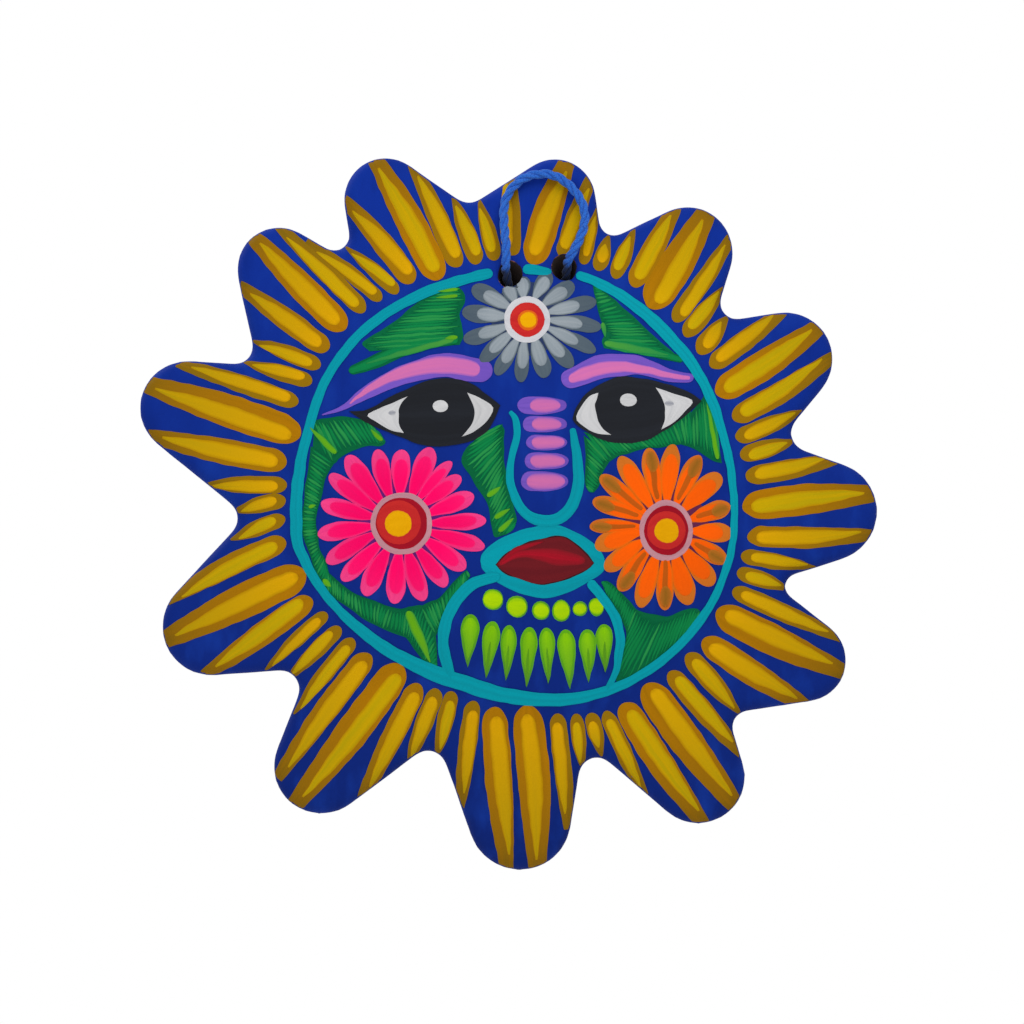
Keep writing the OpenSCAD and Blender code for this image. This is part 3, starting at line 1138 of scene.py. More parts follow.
@dataclass
class Eyes:
    """Two almond eyes: black, with white corners and a white glint."""

    lids: tuple[tuple[tuple[Spot, ...], tuple[Spot, ...]], ...] = (
        (((-45.5, 20.5), (-40.5, 21), (-35, 24), (-30, 26.5), (-25, 28.5), (-20, 29.5), (-15.5, 29),
          (-11.5, 27.5), (-8, 25), (-4.5, 22)),
         ((-45.5, 20.5), (-41, 17.5), (-35.5, 15), (-30.5, 13), (-26, 11.5), (-20.5, 11), (-15.5, 11.5),
          (-10, 13.5), (-7, 16.5), (-4.5, 22))),
        (((15, 18.5), (16, 21.5), (18, 24.5), (21, 27), (25, 29), (29, 30), (33.5, 29.5),
          (38.5, 28.5), (43, 27), (47, 25.5), (50, 23.5)),
         ((15, 18.5), (16, 17), (18.5, 15), (22.5, 13), (27, 12), (32, 12), (36, 13), (39.5, 15),
          (43.5, 17.5), (47, 20.5), (50, 23.5))))
    corners: tuple[tuple[tuple[Spot, ...], tuple[Spot, ...]], ...] = (
        (((-29.5, 24.5), (-33, 23), (-36.5, 21.5), (-40.5, 19.5), (-38, 17.5), (-34.5, 15.5),
          (-30.5, 14.5)),
         ((-29.5, 24.5), (-31, 23), (-32, 21), (-32, 19.5), (-32, 17.5), (-31.5, 16), (-30.5, 14.5))),
        (((-13.5, 25.5), (-10, 24), (-6.5, 21.5), (-8, 18), (-11.5, 15), (-15, 13.5)),
         ((-13.5, 25.5), (-12.5, 23.5), (-11.5, 21), (-11.5, 19), (-12.5, 16.5), (-15, 13.5))),
        (((22, 25.5), (19.5, 24.5), (17.5, 22), (16, 18.5), (18.5, 16), (21.5, 14.5), (25.5, 14)),
         ((22, 25.5), (21.5, 23.5), (21, 22), (21.5, 19.5), (22, 17.5), (23.5, 15.5), (25.5, 14))),
        (((37.5, 27), (41.5, 25.5), (47.5, 23.5), (45.5, 20.5), (42.5, 17.5), (39, 15.5)),
         ((37.5, 27), (39, 24.5), (40, 22), (40, 20), (40, 18), (39, 15.5))))
    glints: tuple[tuple[Spot, float, float], ...] = (((-20.7, 21.8), 2.1, 1.6), ((30.1, 23.5), 2.3, 1.8))
    smudges: tuple[tuple[Spot, float, float], ...] = (((-33.7, 20.1), 1.0, 0.7), ((41.2, 22.6), 1.3, 0.8))
    black: Paint = Paint("black_eye", "1f2126", "282b32", "1e2026")
    grey: Paint = Paint("grey_smudge", "9496a0", "a0a2aa", "9c9ea6", edge="c2c2c6", soft=0.9)
    crisp: float = 0.12
    white: Paint = Paint("white_eye", "cacacc", "a8aaae", "c6c6c8", 0.4)

    def build(self, canvas: Canvas) -> list[Coat]:
        """Paints the eyes.

        Args:
            canvas: The clay to paint on.

        Returns:
            Their coats.
        """
        dark = Coat("eyes_black", self.black, Layer.OVER, canvas)
        for upper, lower in self.lids:
            dark.patch(upper, lower)
        pale = Coat("eyes_white", self.white, Layer.TOP, canvas, self.crisp)
        for outer, inner in self.corners:
            pale.patch(outer, inner)
        for centre, wide, high in self.glints:
            pale.dab(centre, wide, high)
        soft = Coat("eyes_grey", self.grey, Layer.DISC, canvas)
        for centre, wide, high in self.smudges:
            soft.dab(centre, wide, high)
        return [dark, pale, soft]


@dataclass
class Nose:
    """Five pink dabs down the nose, and the turquoise line that rounds it."""

    dabs: tuple[tuple[float, ...], ...] = (
        (0, 13.5, 22, 2.4, 3.5, 12), (1.5, 13.5, 17, 2.2, 4, 12), (2.5, 13.5, 12, 2.1, 4, 13),
        (2, 14, 7, 2.3, 3.5, 13), (1, 14, 1.5, 2.7, 2.5, 13))
    slimming: tuple[float, ...] = (0.85, 1.0, 0.98, 0.85, 0.5)
    pink_share: float = 0.84
    line: tuple[Spot, ...] = (
        (-2, 20.5), (-0.5, 18.5), (0, 15.5), (-0.5, 12), (-1.5, 8), (-2, 4), (-1.5, 0), (0.5, -5),
        (3.5, -8), (7.5, -9.2), (11.5, -8.5), (14.5, -5.5), (16.5, 0), (16.5, 5.5), (16, 9.5),
        (15.5, 13), (15, 16))
    halves: tuple[float, ...] = (0.5, 0.9, 0.9, 1.0, 1.2, 1.4, 1.6, 1.6, 1.4, 1.2, 0.9)
    purple: Paint = PURPLE
    pink: Paint = Paint("pink_nose", "d06eaa", "be68b2", "c86ab0", edge="8c5cba")
    turquoise: Paint = TURQUOISE

    def build(self, canvas: Canvas) -> list[Coat]:
        """Paints the nose.

        Each dab is its ends, its height on the face, its half height and the ends of the pink on it.

        Args:
            canvas: The clay to paint on.

        Returns:
            Its coats.
        """
        under = Coat("nose_purple", self.purple, Layer.UNDER, canvas)
        over = Coat("nose_pink", self.pink, Layer.BODY, canvas)
        for left, right, height, half, pink_left, pink_right in self.dabs:
            halves = [share * half for share in self.slimming]
            under.stroke([(left, height), (right, height)], halves)
            pink_halves = [self.pink_share * value for value in halves]
            over.stroke([(pink_left, height), (pink_right, height)], pink_halves)
        line = Coat("nose_line", self.turquoise, Layer.BODY, canvas)
        line.stroke(self.line, self.halves)
        return [under, over, line]


@dataclass
class Mouth:
    """Dark red lips in a turquoise outline."""

    outline: tuple[tuple[Spot, ...], tuple[Spot, ...]] = (
        ((-10, -20), (-9.3, -18), (-6, -15), (0, -12), (6, -10.5), (11.5, -10.5), (16.5, -12.5),
         (21, -15.5), (23.2, -18.3), (24, -20.5)),
        ((-10, -20), (-9.3, -22.5), (-6, -25.5), (-0.5, -28.3), (5.5, -30), (11, -29.5), (16, -27.5),
         (20, -25.3), (23.2, -22.8), (24, -20.5)))
    lips: tuple[tuple[Spot, ...], tuple[Spot, ...]] = (
        ((-5.5, -21), (-3, -18.5), (2, -15.5), (7.5, -14), (11.5, -13.5), (15, -15), (18, -17.5),
         (20.5, -20.5)),
        ((-5.5, -21), (-3.5, -23), (0, -24.5), (5, -26), (9, -26), (14, -24.5), (18.5, -22.5),
         (20.5, -20.5)))
    gleam: tuple[Spot, ...] = ((-5, -20.9), (0.5, -18.3), (5.5, -18.2), (11, -19), (18.5, -20))
    gleam_halves: tuple[float, ...] = (1.4, 1.4, 1.7, 2.4, 2.4)
    upper_gleam: tuple[Spot, ...] = ((-5, -20.8), (-2, -18.3), (2, -16.2), (7.5, -14.8))
    upper_gleam_half: float = 0.8
    middle: Spot = (7.5, -20.0)
    rim_scale: float = 1.04
    turquoise: Paint = TURQUOISE
    rim: Paint = Paint("black_red_rim", "34161c", "2c161e", "34161c")
    red: Paint = Paint("dark_red_lips", "6b1920", "5c1820", "66181f")
    bright: Paint = Paint(
        "bright_red_lips", "a41024", "8c1420", "981222", edge="6f1920", soft=0.9, fade=0.35)

    def build(self, canvas: Canvas) -> list[Coat]:
        """Paints the mouth.

        Args:
            canvas: The clay to paint on.

        Returns:
            Its coats.
        """
        edge = Coat("mouth_outline", self.turquoise, Layer.UNDER, canvas)
        edge.patch(*self.outline)
        rim = Coat("lips_rim", self.rim, Layer.BODY, canvas)
        grown = [[between(self.middle, spot, self.rim_scale) for spot in line] for line in self.lips]
        rim.patch(*grown)
        lips = Coat("lips_dark", self.red, Layer.OVER, canvas)
        lips.patch(*self.lips)
        gleam = Coat("lips_bright", self.bright, Layer.TOP, canvas)
        gleam.stroke(self.gleam, self.gleam_halves, Shape.PETAL)
        gleam.stroke(self.upper_gleam, [self.upper_gleam_half], Shape.BLADE)
        return [edge, rim, lips, gleam]


@dataclass
class Chin:
    """Two turquoise lines from the mouth to the ring, with green dots and drops between them."""

    left_line: tuple[Spot, ...] = (
        (-4.5, -24), (-11.5, -26), (-15.5, -29.5), (-18, -33.5), (-19.5, -37.5), (-20, -42),
        (-19.5, -46), (-18, -52))
    right_line: tuple[Spot, ...] = (
        (19.5, -25.5), (22, -28.5), (25, -32.5), (27, -36.5), (28, -41), (27.5, -45.5), (27, -49.5),
        (24.5, -55))
    left_half: float = 1.55
    right_halves: tuple[float, ...] = (1.3, 1.3, 1.2, 0.7)
    dots: tuple[tuple[float, ...], ...] = (
        (-6.5, -30.5, 2.9, 2.9), (0, -32.5, 3, 3), (6.5, -33.5, 2.5, 2.5), (12, -33.5, 2.5, 3),
        (17, -33, 2, 2), (21.5, -32.5, 2.2, 2.5))
    drops: tuple[tuple[float, ...], ...] = (
        (-12.5, -34.5, -13.5, -49, 2.6), (-6.5, -36.5, -8.5, -52, 2.5), (-2, -37.5, -3, -52.5, 2.2),
        (3.5, -38, 2.5, -54.5, 2.4), (8, -38, 8.5, -53.5, 2.2), (13, -38.5, 14.5, -55, 2.6),
        (19, -38.5, 19.5, -53, 2.4), (23.5, -37, 24, -50.5, 2.4))
    dot_share: float = 0.88
    light_share: float = 0.8
    light_span: Spot = (0.06, 0.86)
    vein_share: float = 0.2
    vein_span: Spot = (0.35, 0.97)
    veined: tuple[int, ...] = (1, 2, 3, 4, 6, 7)
    turquoise: Paint = TURQUOISE
    green: Paint = Paint("green_chin", "62aa14", "509a22", "457e38", run=(0.3, 0.85))
    lime: Paint = Paint(
        "lime_chin", "86c408", "70b60c", "569628", run=(0.25, 0.85), edge="60a816", soft=0.9)
    vein: Paint = Paint("green_vein", "5c9a18", "52902a", "4c8634", edge="68ac14")
    yellow_green: Paint = Paint(
        "yellow_green_dot", "abd300", "98c808", "a4d000", edge="70b414", soft=0.6)

    def build(self, canvas: Canvas) -> list[Coat]:
        """Paints the chin.

        Each dot is its middle, half width and half height. Each drop is its top, its tip and its
        half width.

        Args:
            canvas: The clay to paint on.

        Returns:
            Its coats.
        """
        lines = Coat("chin_lines", self.turquoise, Layer.OVER, canvas)
        lines.stroke(self.left_line, [self.left_half])
        lines.stroke(self.right_line, self.right_halves)
        edges = Coat("chin_green", self.green, Layer.UNDER, canvas)
        drops = Coat("chin_drop_lights", self.lime, Layer.BODY, canvas)
        dots = Coat("chin_dot_lights", self.yellow_green, Layer.BODY, canvas)
        for x, z, wide, high in self.dots:
            edges.dab((x, z), wide, high)
            dots.dab((x, z), self.dot_share * wide, self.dot_share * high)
        veins = Coat("chin_drop_veins", self.vein, Layer.OVER, canvas)
        for place, (x, z, tip_x, tip_z, half) in enumerate(self.drops):
            ends = ((x, z), (tip_x, tip_z))
            edges.stroke(ends, [half], Shape.DROP)
            line = [between(*ends, share) for share in self.light_span]
            drops.stroke(line, [self.light_share * half], Shape.DROP)
            if place in self.veined:
                line = [between(*ends, share) for share in self.vein_span]
                veins.stroke(line, [self.vein_share * half], Shape.BLADE)
        return [lines, edges, drops, dots, veins]


@dataclass(frozen=True)
class Leaf:
    """Patch of leaf between two edges, hatched from one to the other, straight across or aslant."""

    first: tuple[Spot, ...]
    second: tuple[Spot, ...]
    hatches: int
    light_share: float = 0.5
    slant: float = 0.0


@dataclass
class Foliage:
    """Green leaves round the eyes, flowers and nose."""

    leaves: tuple[Leaf, ...] = (
        Leaf(((-17.5, 55.5), (-15, 53.5), (-14, 50.5), (-15.5, 47), (-15, 44), (-14.5, 41),
              (-15.5, 38.5)),
             ((-18, 55), (-21, 53), (-27, 50), (-32, 46), (-37, 42.5), (-42, 39.2), (-40, 36.8)), 11),
        Leaf(((20.5, 55), (21, 52), (22, 47.5), (23, 44.5), (24, 42), (23, 39.5), (23.5, 37.5)),
             ((22, 54.5), (24.5, 52.5), (28, 49.5), (33, 45), (36, 42), (40, 38.5), (45.5, 34)), 10),
        Leaf(((-55, 18), (-53, 18.5), (-49.5, 19), (-45.5, 19), (-41, 18), (-38, 15.5), (-35.5, 12.5)),
             ((-55.5, 10.5), (-50, 6.5), (-48, 8), (-44, 10), (-40.5, 11), (-37.5, 11),
              (-35.8, 11.7)), 9, 0.5, -0.1),
        Leaf(((-56, 11), (-56.5, 5.5), (-57.5, 0.5), (-58, -4.5), (-58.5, -9.5), (-58, -14), (-56, -19),
              (-54, -24.5), (-51, -29)),
             ((-49.5, 6.5), (-52, 2), (-53, -2.5), (-54, -6), (-54.5, -9.5), (-54, -13), (-53.5, -17),
              (-52, -20), (-51, -23.5)), 18),
        Leaf(((-51, -29), (-48.5, -31), (-46, -32.5), (-41.5, -36), (-38.5, -37.5), (-36.5, -38.5),
              (-32.5, -40), (-30, -41)),
             ((-51, -23.5), (-48.5, -25.5), (-45.5, -28), (-42.5, -29.5), (-38, -31), (-34.5, -32.5),
              (-31.5, -33), (-29, -32.5)), 12),
        Leaf(((-30.5, -40.5), (-28, -44), (-25.5, -47), (-23, -49.5)),
             ((-29.5, -32.5), (-25, -32.5), (-22, -40.5), (-21.5, -48.5)), 7),
        Leaf(((-26.5, -32.5), (-23.5, -31), (-21, -30), (-17.5, -26), (-15, -23.5), (-13.5, -22.5)),
             ((-22, -40.5), (-21, -38), (-20, -35), (-17.5, -32), (-15.5, -29), (-12.5, -24)), 8),
        Leaf(((-6, 16), (-9, 14), (-13, 11.5), (-15, 7), (-13, 3.5), (-11, 0), (-8.5, -3.5),
              (-7.5, -6.5), (-7, -10), (-6, -13.5), (-3, -13)),
             ((-4, 17), (-4, 16.5), (-3.5, 15.5), (-3.5, 13.5), (-3.5, 10.5), (-3.5, 7), (-3, 3.5),
              (-2, -1), (-1, -5), (0, -8.5), (-0.5, -10.5)), 14, 0.5, 0.04),
        Leaf(((18, 14), (18.5, 8.5), (18.5, 5.5), (18.5, 1), (19.5, -1.3)),
             ((25.5, 7.5), (24.5, 6), (23, 3.5), (22.3, 0.5), (20.8, -1.5)), 7, 0.35, -0.1),
        Leaf(((18, 15), (23.5, 13), (27, 12.5), (31.5, 12.5), (35.5, 13.5), (39, 15.5), (43, 18),
              (47, 21)),
             ((24.5, 6.5), (28, 8.5), (30.5, 9), (34.5, 10.5), (38.5, 10.5), (41.5, 11), (45, 11.5),
              (47.5, 10.5)),
             12, 0.25),
        Leaf(((43, 17), (47, 20), (50, 23.5), (51.5, 26), (53, 23)),
             ((44.5, 11.5), (47.5, 10.5), (51, 8.5), (53.5, 7), (55.5, 6.5)), 7, 0.25),
        Leaf(((23.3, -25.5), (25, -25.8), (28, -28.5), (30.5, -31), (33, -33.5), (37, -34.5),
              (41, -35), (45, -33.5), (48.5, -33), (50, -34)),
             ((23, -26.2), (24, -29), (26.5, -32.5), (28.5, -36.5), (29.5, -41.5), (27, -53),
              (35, -49.5), (40.5, -45), (45.5, -41), (50, -36.5)), 18, 0.12))
    limbs: tuple[tuple[tuple[Spot, ...], tuple[float, ...]], ...] = (
        (((-16, 40), (-23, 39.5), (-31, 37.3), (-38.5, 34), (-45.5, 31.3)), (1.6, 1.7, 1.9, 1.9, 1.2)),
        (((23.8, 39), (32.5, 37.8), (40, 35.8), (45, 34.5)), (1.5, 1.5, 1.3, 0.8)))
    hatch_half: float = 0.4
    hatching: float = 2.2
    hatch_start: Spot = (0.02, 0.12)
    hatch_end: Spot = (0.86, 0.98)
    hatch_spread: Spot = (0.8, 1.3)
    limb_share: float = 0.7
    accents: tuple[tuple[float, ...], ...] = (
        (-49, 9, -56, 16, 0.9), (-36.5, 12.5, -39.5, 15.5, 0.7), (-29.5, -33.5, -23.5, -47.5, 1.4),
        (-52.5, -25, -50.5, -27, 0.9), (-56.5, -5.5, -54.5, -5, 0.6), (-5, -12, -1, -8.5, 0.8),
        (-6, -8.5, -2, -6, 0.7), (-8, -2.5, -4.5, 0, 0.8), (54.5, 7.5, 51.5, 22.5, 0.7),
        (-16, 53.5, -21.5, 53, 0.5), (-16, 51.8, -22, 51.2, 0.5), (-16, 40.5, -19.5, 40.2, 0.7))
    washes: tuple[tuple[float, ...], ...] = (
        (23.6, 39, 41, 35.8, 1.1), (-17, 40, -41, 33.5, 0.9), (23.2, 44.5, 24, 40.5, 0.7))
    ground: Paint = Paint("deep_green_leaf", "04623a", "005234", "04683e")
    mid: Paint = Paint("mid_green_leaf", "0a7d41", "0c8446", "087844", edge="06703e")
    light: Paint = Paint("light_green_leaf", "288e46", "208846", "1e8444", edge="0a7a42")
    wash: Paint = Paint(
        "pale_green_leaf", "4c9a36", "3a923e", "1c8446", run=(0.1, 0.75), edge="0e7c44", fade=0.1)
    lime: Paint = Paint("lime_leaf", "5ea418", "68aa14", "4a9830", edge="2c8c38", fade=0.12)

    def build(self, canvas: Canvas) -> list[Coat]:
        """Paints the leaves.

        Args:
            canvas: The clay to paint on.

        Returns:
            Their coats.
        """
        ground = Coat("leaves_ground", self.ground, Layer.UNDER, canvas)
        tints = [
            Coat("leaves_mid", self.mid, Layer.BODY, canvas),
            Coat("leaves_light", self.light, Layer.BODY, canvas)]
        draw = random.Random("leaves")
        for leaf in self.leaves:
            ground.patch(leaf.first, leaf.second)
            first = [Vector(spot) for spot in leaf.first]
            second = [Vector(spot) for spot in leaf.second]
            count = int(leaf.hatches * self.hatching)
            for k in range(count):
                share = (k + 0.5) / count
                start = smooth_through(first, share + leaf.slant)
                stop = smooth_through(second, share - leaf.slant)
                tint = tints[draw.random() < leaf.light_share]
                near = start.lerp(stop, draw.uniform(*self.hatch_start))
                far = start.lerp(stop, draw.uniform(*self.hatch_end))
                half = self.hatch_half * draw.uniform(*self.hatch_spread)
                tint.stroke([near.to_tuple(), far.to_tuple()], [half], Shape.BLADE)
        for line, halves in self.limbs:
            ground.stroke(line, halves)
            tints[0].stroke(line, [self.limb_share * half for half in halves])
        pale = Coat("leaves_washes", self.wash, Layer.OVER, canvas)
        bright = Coat("leaves_accents", self.lime, Layer.TOP, canvas)
        for coat, dashes in ((pale, self.washes), (bright, self.accents)):
            for x, z, far_x, far_z, half in dashes:
                coat.stroke([(x, z), (far_x, far_z)], [half], Shape.TAPER)
        return [ground] + tints + [pale, bright]


@dataclass
class HangingCord:
    """Blue three-strand cord: a loop in front, legs through the holes, a knot and tails behind."""

    diameter: float = 2.6
    strand: float = 0.64
    coil: float = 0.66
    pitch: float = 9.5
    spacing: float = 0.45
    strands: int = 3
    roundness: int = 2
    fineness: int = 1200
    path_step: int = 4
    weld: float = 0.005
    fraying: Spot = (0.55, 4.0)
    loop: tuple[Place, ...] = (
        (-3.1, -13.8, 60.2), (-3, -15, 62.2), (-2.9, -15, 64.8), (-3.2, -14.1, 68), (-3.5, -12.9, 71.5),
        (-3.6, -11.9, 75), (-2.8, -11.2, 78.7), (-0.9, -10.7, 81.7), (2, -10.4, 84), (5.5, -10.3, 85),
        (9, -10.3, 84.9), (12.2, -10.4, 83.6), (15.2, -10.7, 81), (17.4, -11.2, 77.8),
        (18.4, -12, 74.4), (18.2, -13, 71), (17.3, -14.1, 68), (16.1, -15, 65.4), (15, -15, 63.6),
        (14.2, -13.8, 62.2))
    left_leg: tuple[Place, ...] = (
        (-3.1, -12.4, 59.3), (-2.7, -10.2, 56.7), (-2.3, -8, 54.3), (-2, -6, 52.2), (-1.8, -4.6, 51),
        (-1.3, -3.8, 49.3), (-0.2, -3.7, 48), (1.6, -3.7, 46.9), (3.6, -3.8, 46))
    right_leg: tuple[Place, ...] = (
        (13.8, -12.4, 61.3), (13.5, -10.2, 59), (13.2, -8, 56.8), (13, -6, 54.7), (12.9, -4.7, 53.4),
        (12.5, -3.8, 51.8), (11.7, -3.7, 50.1), (10.1, -3.7, 48.2), (7.8, -3.8, 46.2))
    left_tail: tuple[Place, ...] = (
        (5.2, -4, 44), (4.4, -3.9, 43.2), (3.6, -3.8, 42.4), (2.7, -3.2, 39.4), (1.6, -2.6, 36),
        (1, -2.3, 32.5))
    right_tail: tuple[Place, ...] = (
        (5.8, -4, 44), (6.8, -3.9, 43.2), (7.6, -3.8, 42.4), (8.6, -3.2, 39.6), (10.2, -2.6, 36.6),
        (11.2, -2.3, 33.5))
    knot_centre: Place = (5.5, -4.0, 44.2)
    knot_radius: float = 2.0
    knot_turns: float = 2.0
    knot_width: float = 4.5
    knot_steps: int = 48
    bend_start: Place = (5.5, -11.5, 59.5)
    bend_end: Place = (5.5, -15.0, 64.0)
    shaded_depths: Spot = (-2.2, 9.0)
    shade_reach: float = 1.5
    shade_fade: float = 2.0
    finish: CordFinish = field(default_factory=CordFinish)

    def build(self) -> tuple[bpy.types.Object, bpy.types.Object]:
        """Makes the cord and its knot.

        Returns:
            The cord from knot to knot, and the knot with its tails.
        """
        material = self.finish.material()
        cord = self.twist("hanging_cord", [self.route()], material, False)
        wraps = [self.wrap_at(k / self.knot_steps) for k in range(self.knot_steps + 1)]
        tails = [list(self.left_tail), list(self.right_tail)]
        knot = self.twist("cord_knot", [wraps] + tails, material, True)
        return cord, knot

    def route(self) -> list[Place]:
        """Gives the cord's points from the knot, through the left hole, round the loop and back."""
        return list(reversed(self.left_leg)) + list(self.loop) + list(self.right_leg)

    def wrap_at(self, share: float) -> Place:
        """Gives a point of the knot's turns.

        Args:
            share: How far along the turns, from 0 to 1.

        Returns:
            The point in millimetres.
        """
        turn = 2.0 * math.pi * self.knot_turns * share
        x = self.knot_centre[0] + self.knot_width * (share - 0.5)
        y = self.knot_centre[1] - self.knot_radius * math.sin(turn)
        return (x, y, self.knot_centre[2] + self.knot_radius * math.cos(turn))

    def twist(self, name: str, routes: list[list[Place]], material: bpy.types.Material,
              frayed: bool) -> bpy.types.Object:
        """Lays three strands round each route.

        Args:
            name: Name of the piece.
            routes: Lines that the cord follows, in millimetres.
            material: The cord's finish.
            frayed: Whether the strands part at the free ends.

        Returns:
            The piece, as a mesh.
        """
        curve = bpy.data.curves.new(name, "CURVE")
        curve.dimensions = "3D"
        curve.bevel_depth = self.strand * MM
        curve.bevel_resolution = self.roundness
        curve.use_fill_caps = True
        for place, route in enumerate(routes):
            line = self.even_points(route)
            opening = frayed and place > 0
            for strand in range(self.strands):
                points = self.strand_points(line, strand, opening)
                spline = curve.splines.new("POLY")
                spline.points.add(len(points) - 1)
                for target, point in zip(spline.points, points):
                    target.co = (*metres(point), 1.0)
        shaper = bpy.data.objects.new(name + "_curve", curve)
        bpy.context.scene.collection.objects.link(shaper)
        graph = bpy.context.evaluated_depsgraph_get()
        mesh = bpy.data.meshes.new_from_object(shaper.evaluated_get(graph))
        bpy.data.objects.remove(shaper)
        bpy.data.curves.remove(curve)
        mesh.name = name
        skin = bmesh.new()
        skin.from_mesh(mesh)
        bmesh.ops.remove_doubles(skin, verts=skin.verts[:], dist=self.weld * MM)
        skin.to_mesh(mesh)
        skin.free()
        return add_object(name, mesh, material)

    def even_points(self, route: Sequence[Place]) -> list[Vector]:
        """Spaces points evenly along a smooth line.

        Args:
            route: Points that the line passes through.

        Returns:
            Points about one spacing apart.
        """
        marks = [Vector(point) for point in route]
        fine = [smooth_through(marks, k / self.fineness) for k in range(self.fineness + 1)]
        spaced = [fine[0]]
        walked = 0.0
        for before, after in zip(fine, fine[1:]):
            walked += (after - before).length
            if walked >= self.spacing:
                spaced.append(after)
                walked = 0.0
        return spaced

    def strand_points(self, line: list[Vector], strand: int, opening: bool) -> list[Vector]:
        """Winds one strand round the cord's middle line.

        Args:
            line: The middle line.
            strand: Which of the strands.
            opening: Whether the strands part towards the last point.

        Returns:
            The strand's own middle line.
        """
        heading = (line[1] - line[0]).normalized()
        aside = heading.orthogonal().normalized()
        widest, span = self.fraying
        points = []
        walked = 0.0
        for place, point in enumerate(line):
            onward = line[min(place + 1, len(line) - 1)] - line[max(place - 1, 0)]
            onward.normalize()
            aside = heading.rotation_difference(onward) @ aside
            heading = onward
            turn = 2.0 * math.pi * (walked / self.pitch + strand / self.strands)
            coil = self.coil
            if opening:
                left = (len(line) - 1 - place) * self.spacing
                coil *= 1.0 + widest * max(1.0 - left / span, 0.0) ** 2
            outward = aside * math.cos(turn) + heading.cross(aside) * math.sin(turn)
            points.append(point + outward * coil)
            walked += self.spacing
        return points

    def shade_in_holes(self, piece: bpy.types.Object, sun: ClaySun) -> None:
        """Marks where the cord runs inside the holes, for the painted shade there.

        Args:
            piece: The cord or its knot.
            sun: The clay with its holes.
        """
        marks = piece.data.attributes.new("shade_in_holes", "FLOAT", "POINT")
        for vert, mark in zip(piece.data.vertices, marks.data):
            beyond, depth = sun.past_hole(vert.co)
            if beyond < self.shade_reach:
                inside = min(depth - self.shaded_depths[0], self.shaded_depths[1] - depth)
                mark.value = min(max(inside / self.shade_fade, 0.0), 1.0)

    def dress(self, cord: bpy.types.Object, knot: bpy.types.Object) -> None:
        """Hides the cord's solids, fixes the knot to the plaque and bakes the cord's place into its mesh.

        Args:
            cord: The cord from knot to knot.
            knot: The knot with its tails.
        """
        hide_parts("tie_knot", "cord_tail_left", "cord_tail_right")
        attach(knot, PLAQUE)
        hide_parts("hanger_loop", "cord_leg_left", "cord_leg_right")
        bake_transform(cord)
        LOG.info("%s: %d faces", knot.name, len(knot.data.polygons))


@dataclass
class Studio:
    """Pale floor, soft light and the camera."""

    image_width: float = 0.2786
    aim: Place = (-0.00136, -0.008, -0.0068)
    distance: float = 2.4
    sensor: float = 36.0
    floor_height: float = -0.25
    floor_radius: float = 0.6
    floor_sides: int = 96
    ambient: float = 0.55
    lamps: tuple[tuple[str, Place, float, float], ...] = (
        ("key_light", (0.35, -1.1, 1.25), 1.1, 13.4),
        ("fill_light", (-0.7, -1.5, -0.1), 1.2, 4.5),
        ("back_light", (-0.9, 0.8, 0.9), 0.6, 9.0))

    def build(self) -> None:
        """Sets up the camera, the light and the floor."""
        self.place_camera()
        self.light_world()
        for lamp in self.lamps:
            self.hang_lamp(*lamp)
        self.lay_floor()
        bpy.context.scene.view_settings.view_transform = "Standard"

    def place_camera(self) -> None:
        """Points the camera straight at the face, as wide as the picture."""
        lens = bpy.data.cameras.new("camera")
        lens.sensor_width = self.sensor
        lens.lens = self.sensor * self.distance / self.image_width
        camera = bpy.data.objects.new("camera", lens)
        camera.location = (self.aim[0], self.aim[1] - self.distance, self.aim[2])
        camera.rotation_euler = (math.radians(90.0), 0.0, 0.0)
        bpy.context.scene.collection.objects.link(camera)
        bpy.context.scene.camera = camera

    def light_world(self) -> None:
        """Gives even light all round, and a white ground behind the plaque."""
        world = bpy.data.worlds.new("studio")
        bpy.context.scene.world = world
        board = NodeBoard(world)
        rays = board.add("LightPath", {})
        clear = board.math("MAXIMUM", rays["Is Glossy Ray"], rays["Is Transmission Ray"])
        seen = board.math("MAXIMUM", rays["Is Camera Ray"], clear)
        ground = board.tree.nodes["Background"].inputs
        board.feed(ground["Color"], "ffffff")
        board.feed(ground["Strength"], board.spread(seen, 0.0, 1.0, self.ambient, 1.0))

    def hang_lamp(self, name: str, place: Place, size: float, power: float) -> None:
        """Hangs one soft lamp that faces the plaque.

        Args:
            name: Name of the lamp.
            place: Where it hangs, in metres.
            size: Side of its square, in metres.
            power: Its power in watts.
        """
        light = bpy.data.lights.new(name, "AREA")
        light.shape = "SQUARE"
        light.size = size
        light.energy = power
        lamp = bpy.data.objects.new(name, light)
        lamp.location = place
        lamp.rotation_euler = (-Vector(place)).to_track_quat("-Z", "Y").to_euler()
        bpy.context.scene.collection.objects.link(lamp)

    def lay_floor(self) -> None:
        """Lays a round pale floor below the plaque."""
        disc = bmesh.new()
        bmesh.ops.create_circle(disc, cap_ends=True, segments=self.floor_sides, radius=self.floor_radius)
        bmesh.ops.translate(disc, verts=disc.verts[:], vec=(0.0, 0.0, self.floor_height))
        mesh = bpy.data.meshes.new("floor")
        disc.to_mesh(mesh)
        disc.free()
        board = NodeBoard(bpy.data.materials.new("pale_floor"))
        coords = board.add("TexCoord", {})["Object"]
        board.surface(board.mix(board.cloud(coords, 12.0), "eeecea", "f6f5f3"), 0.8, 0.2)
        add_object("floor", mesh, board.owner)


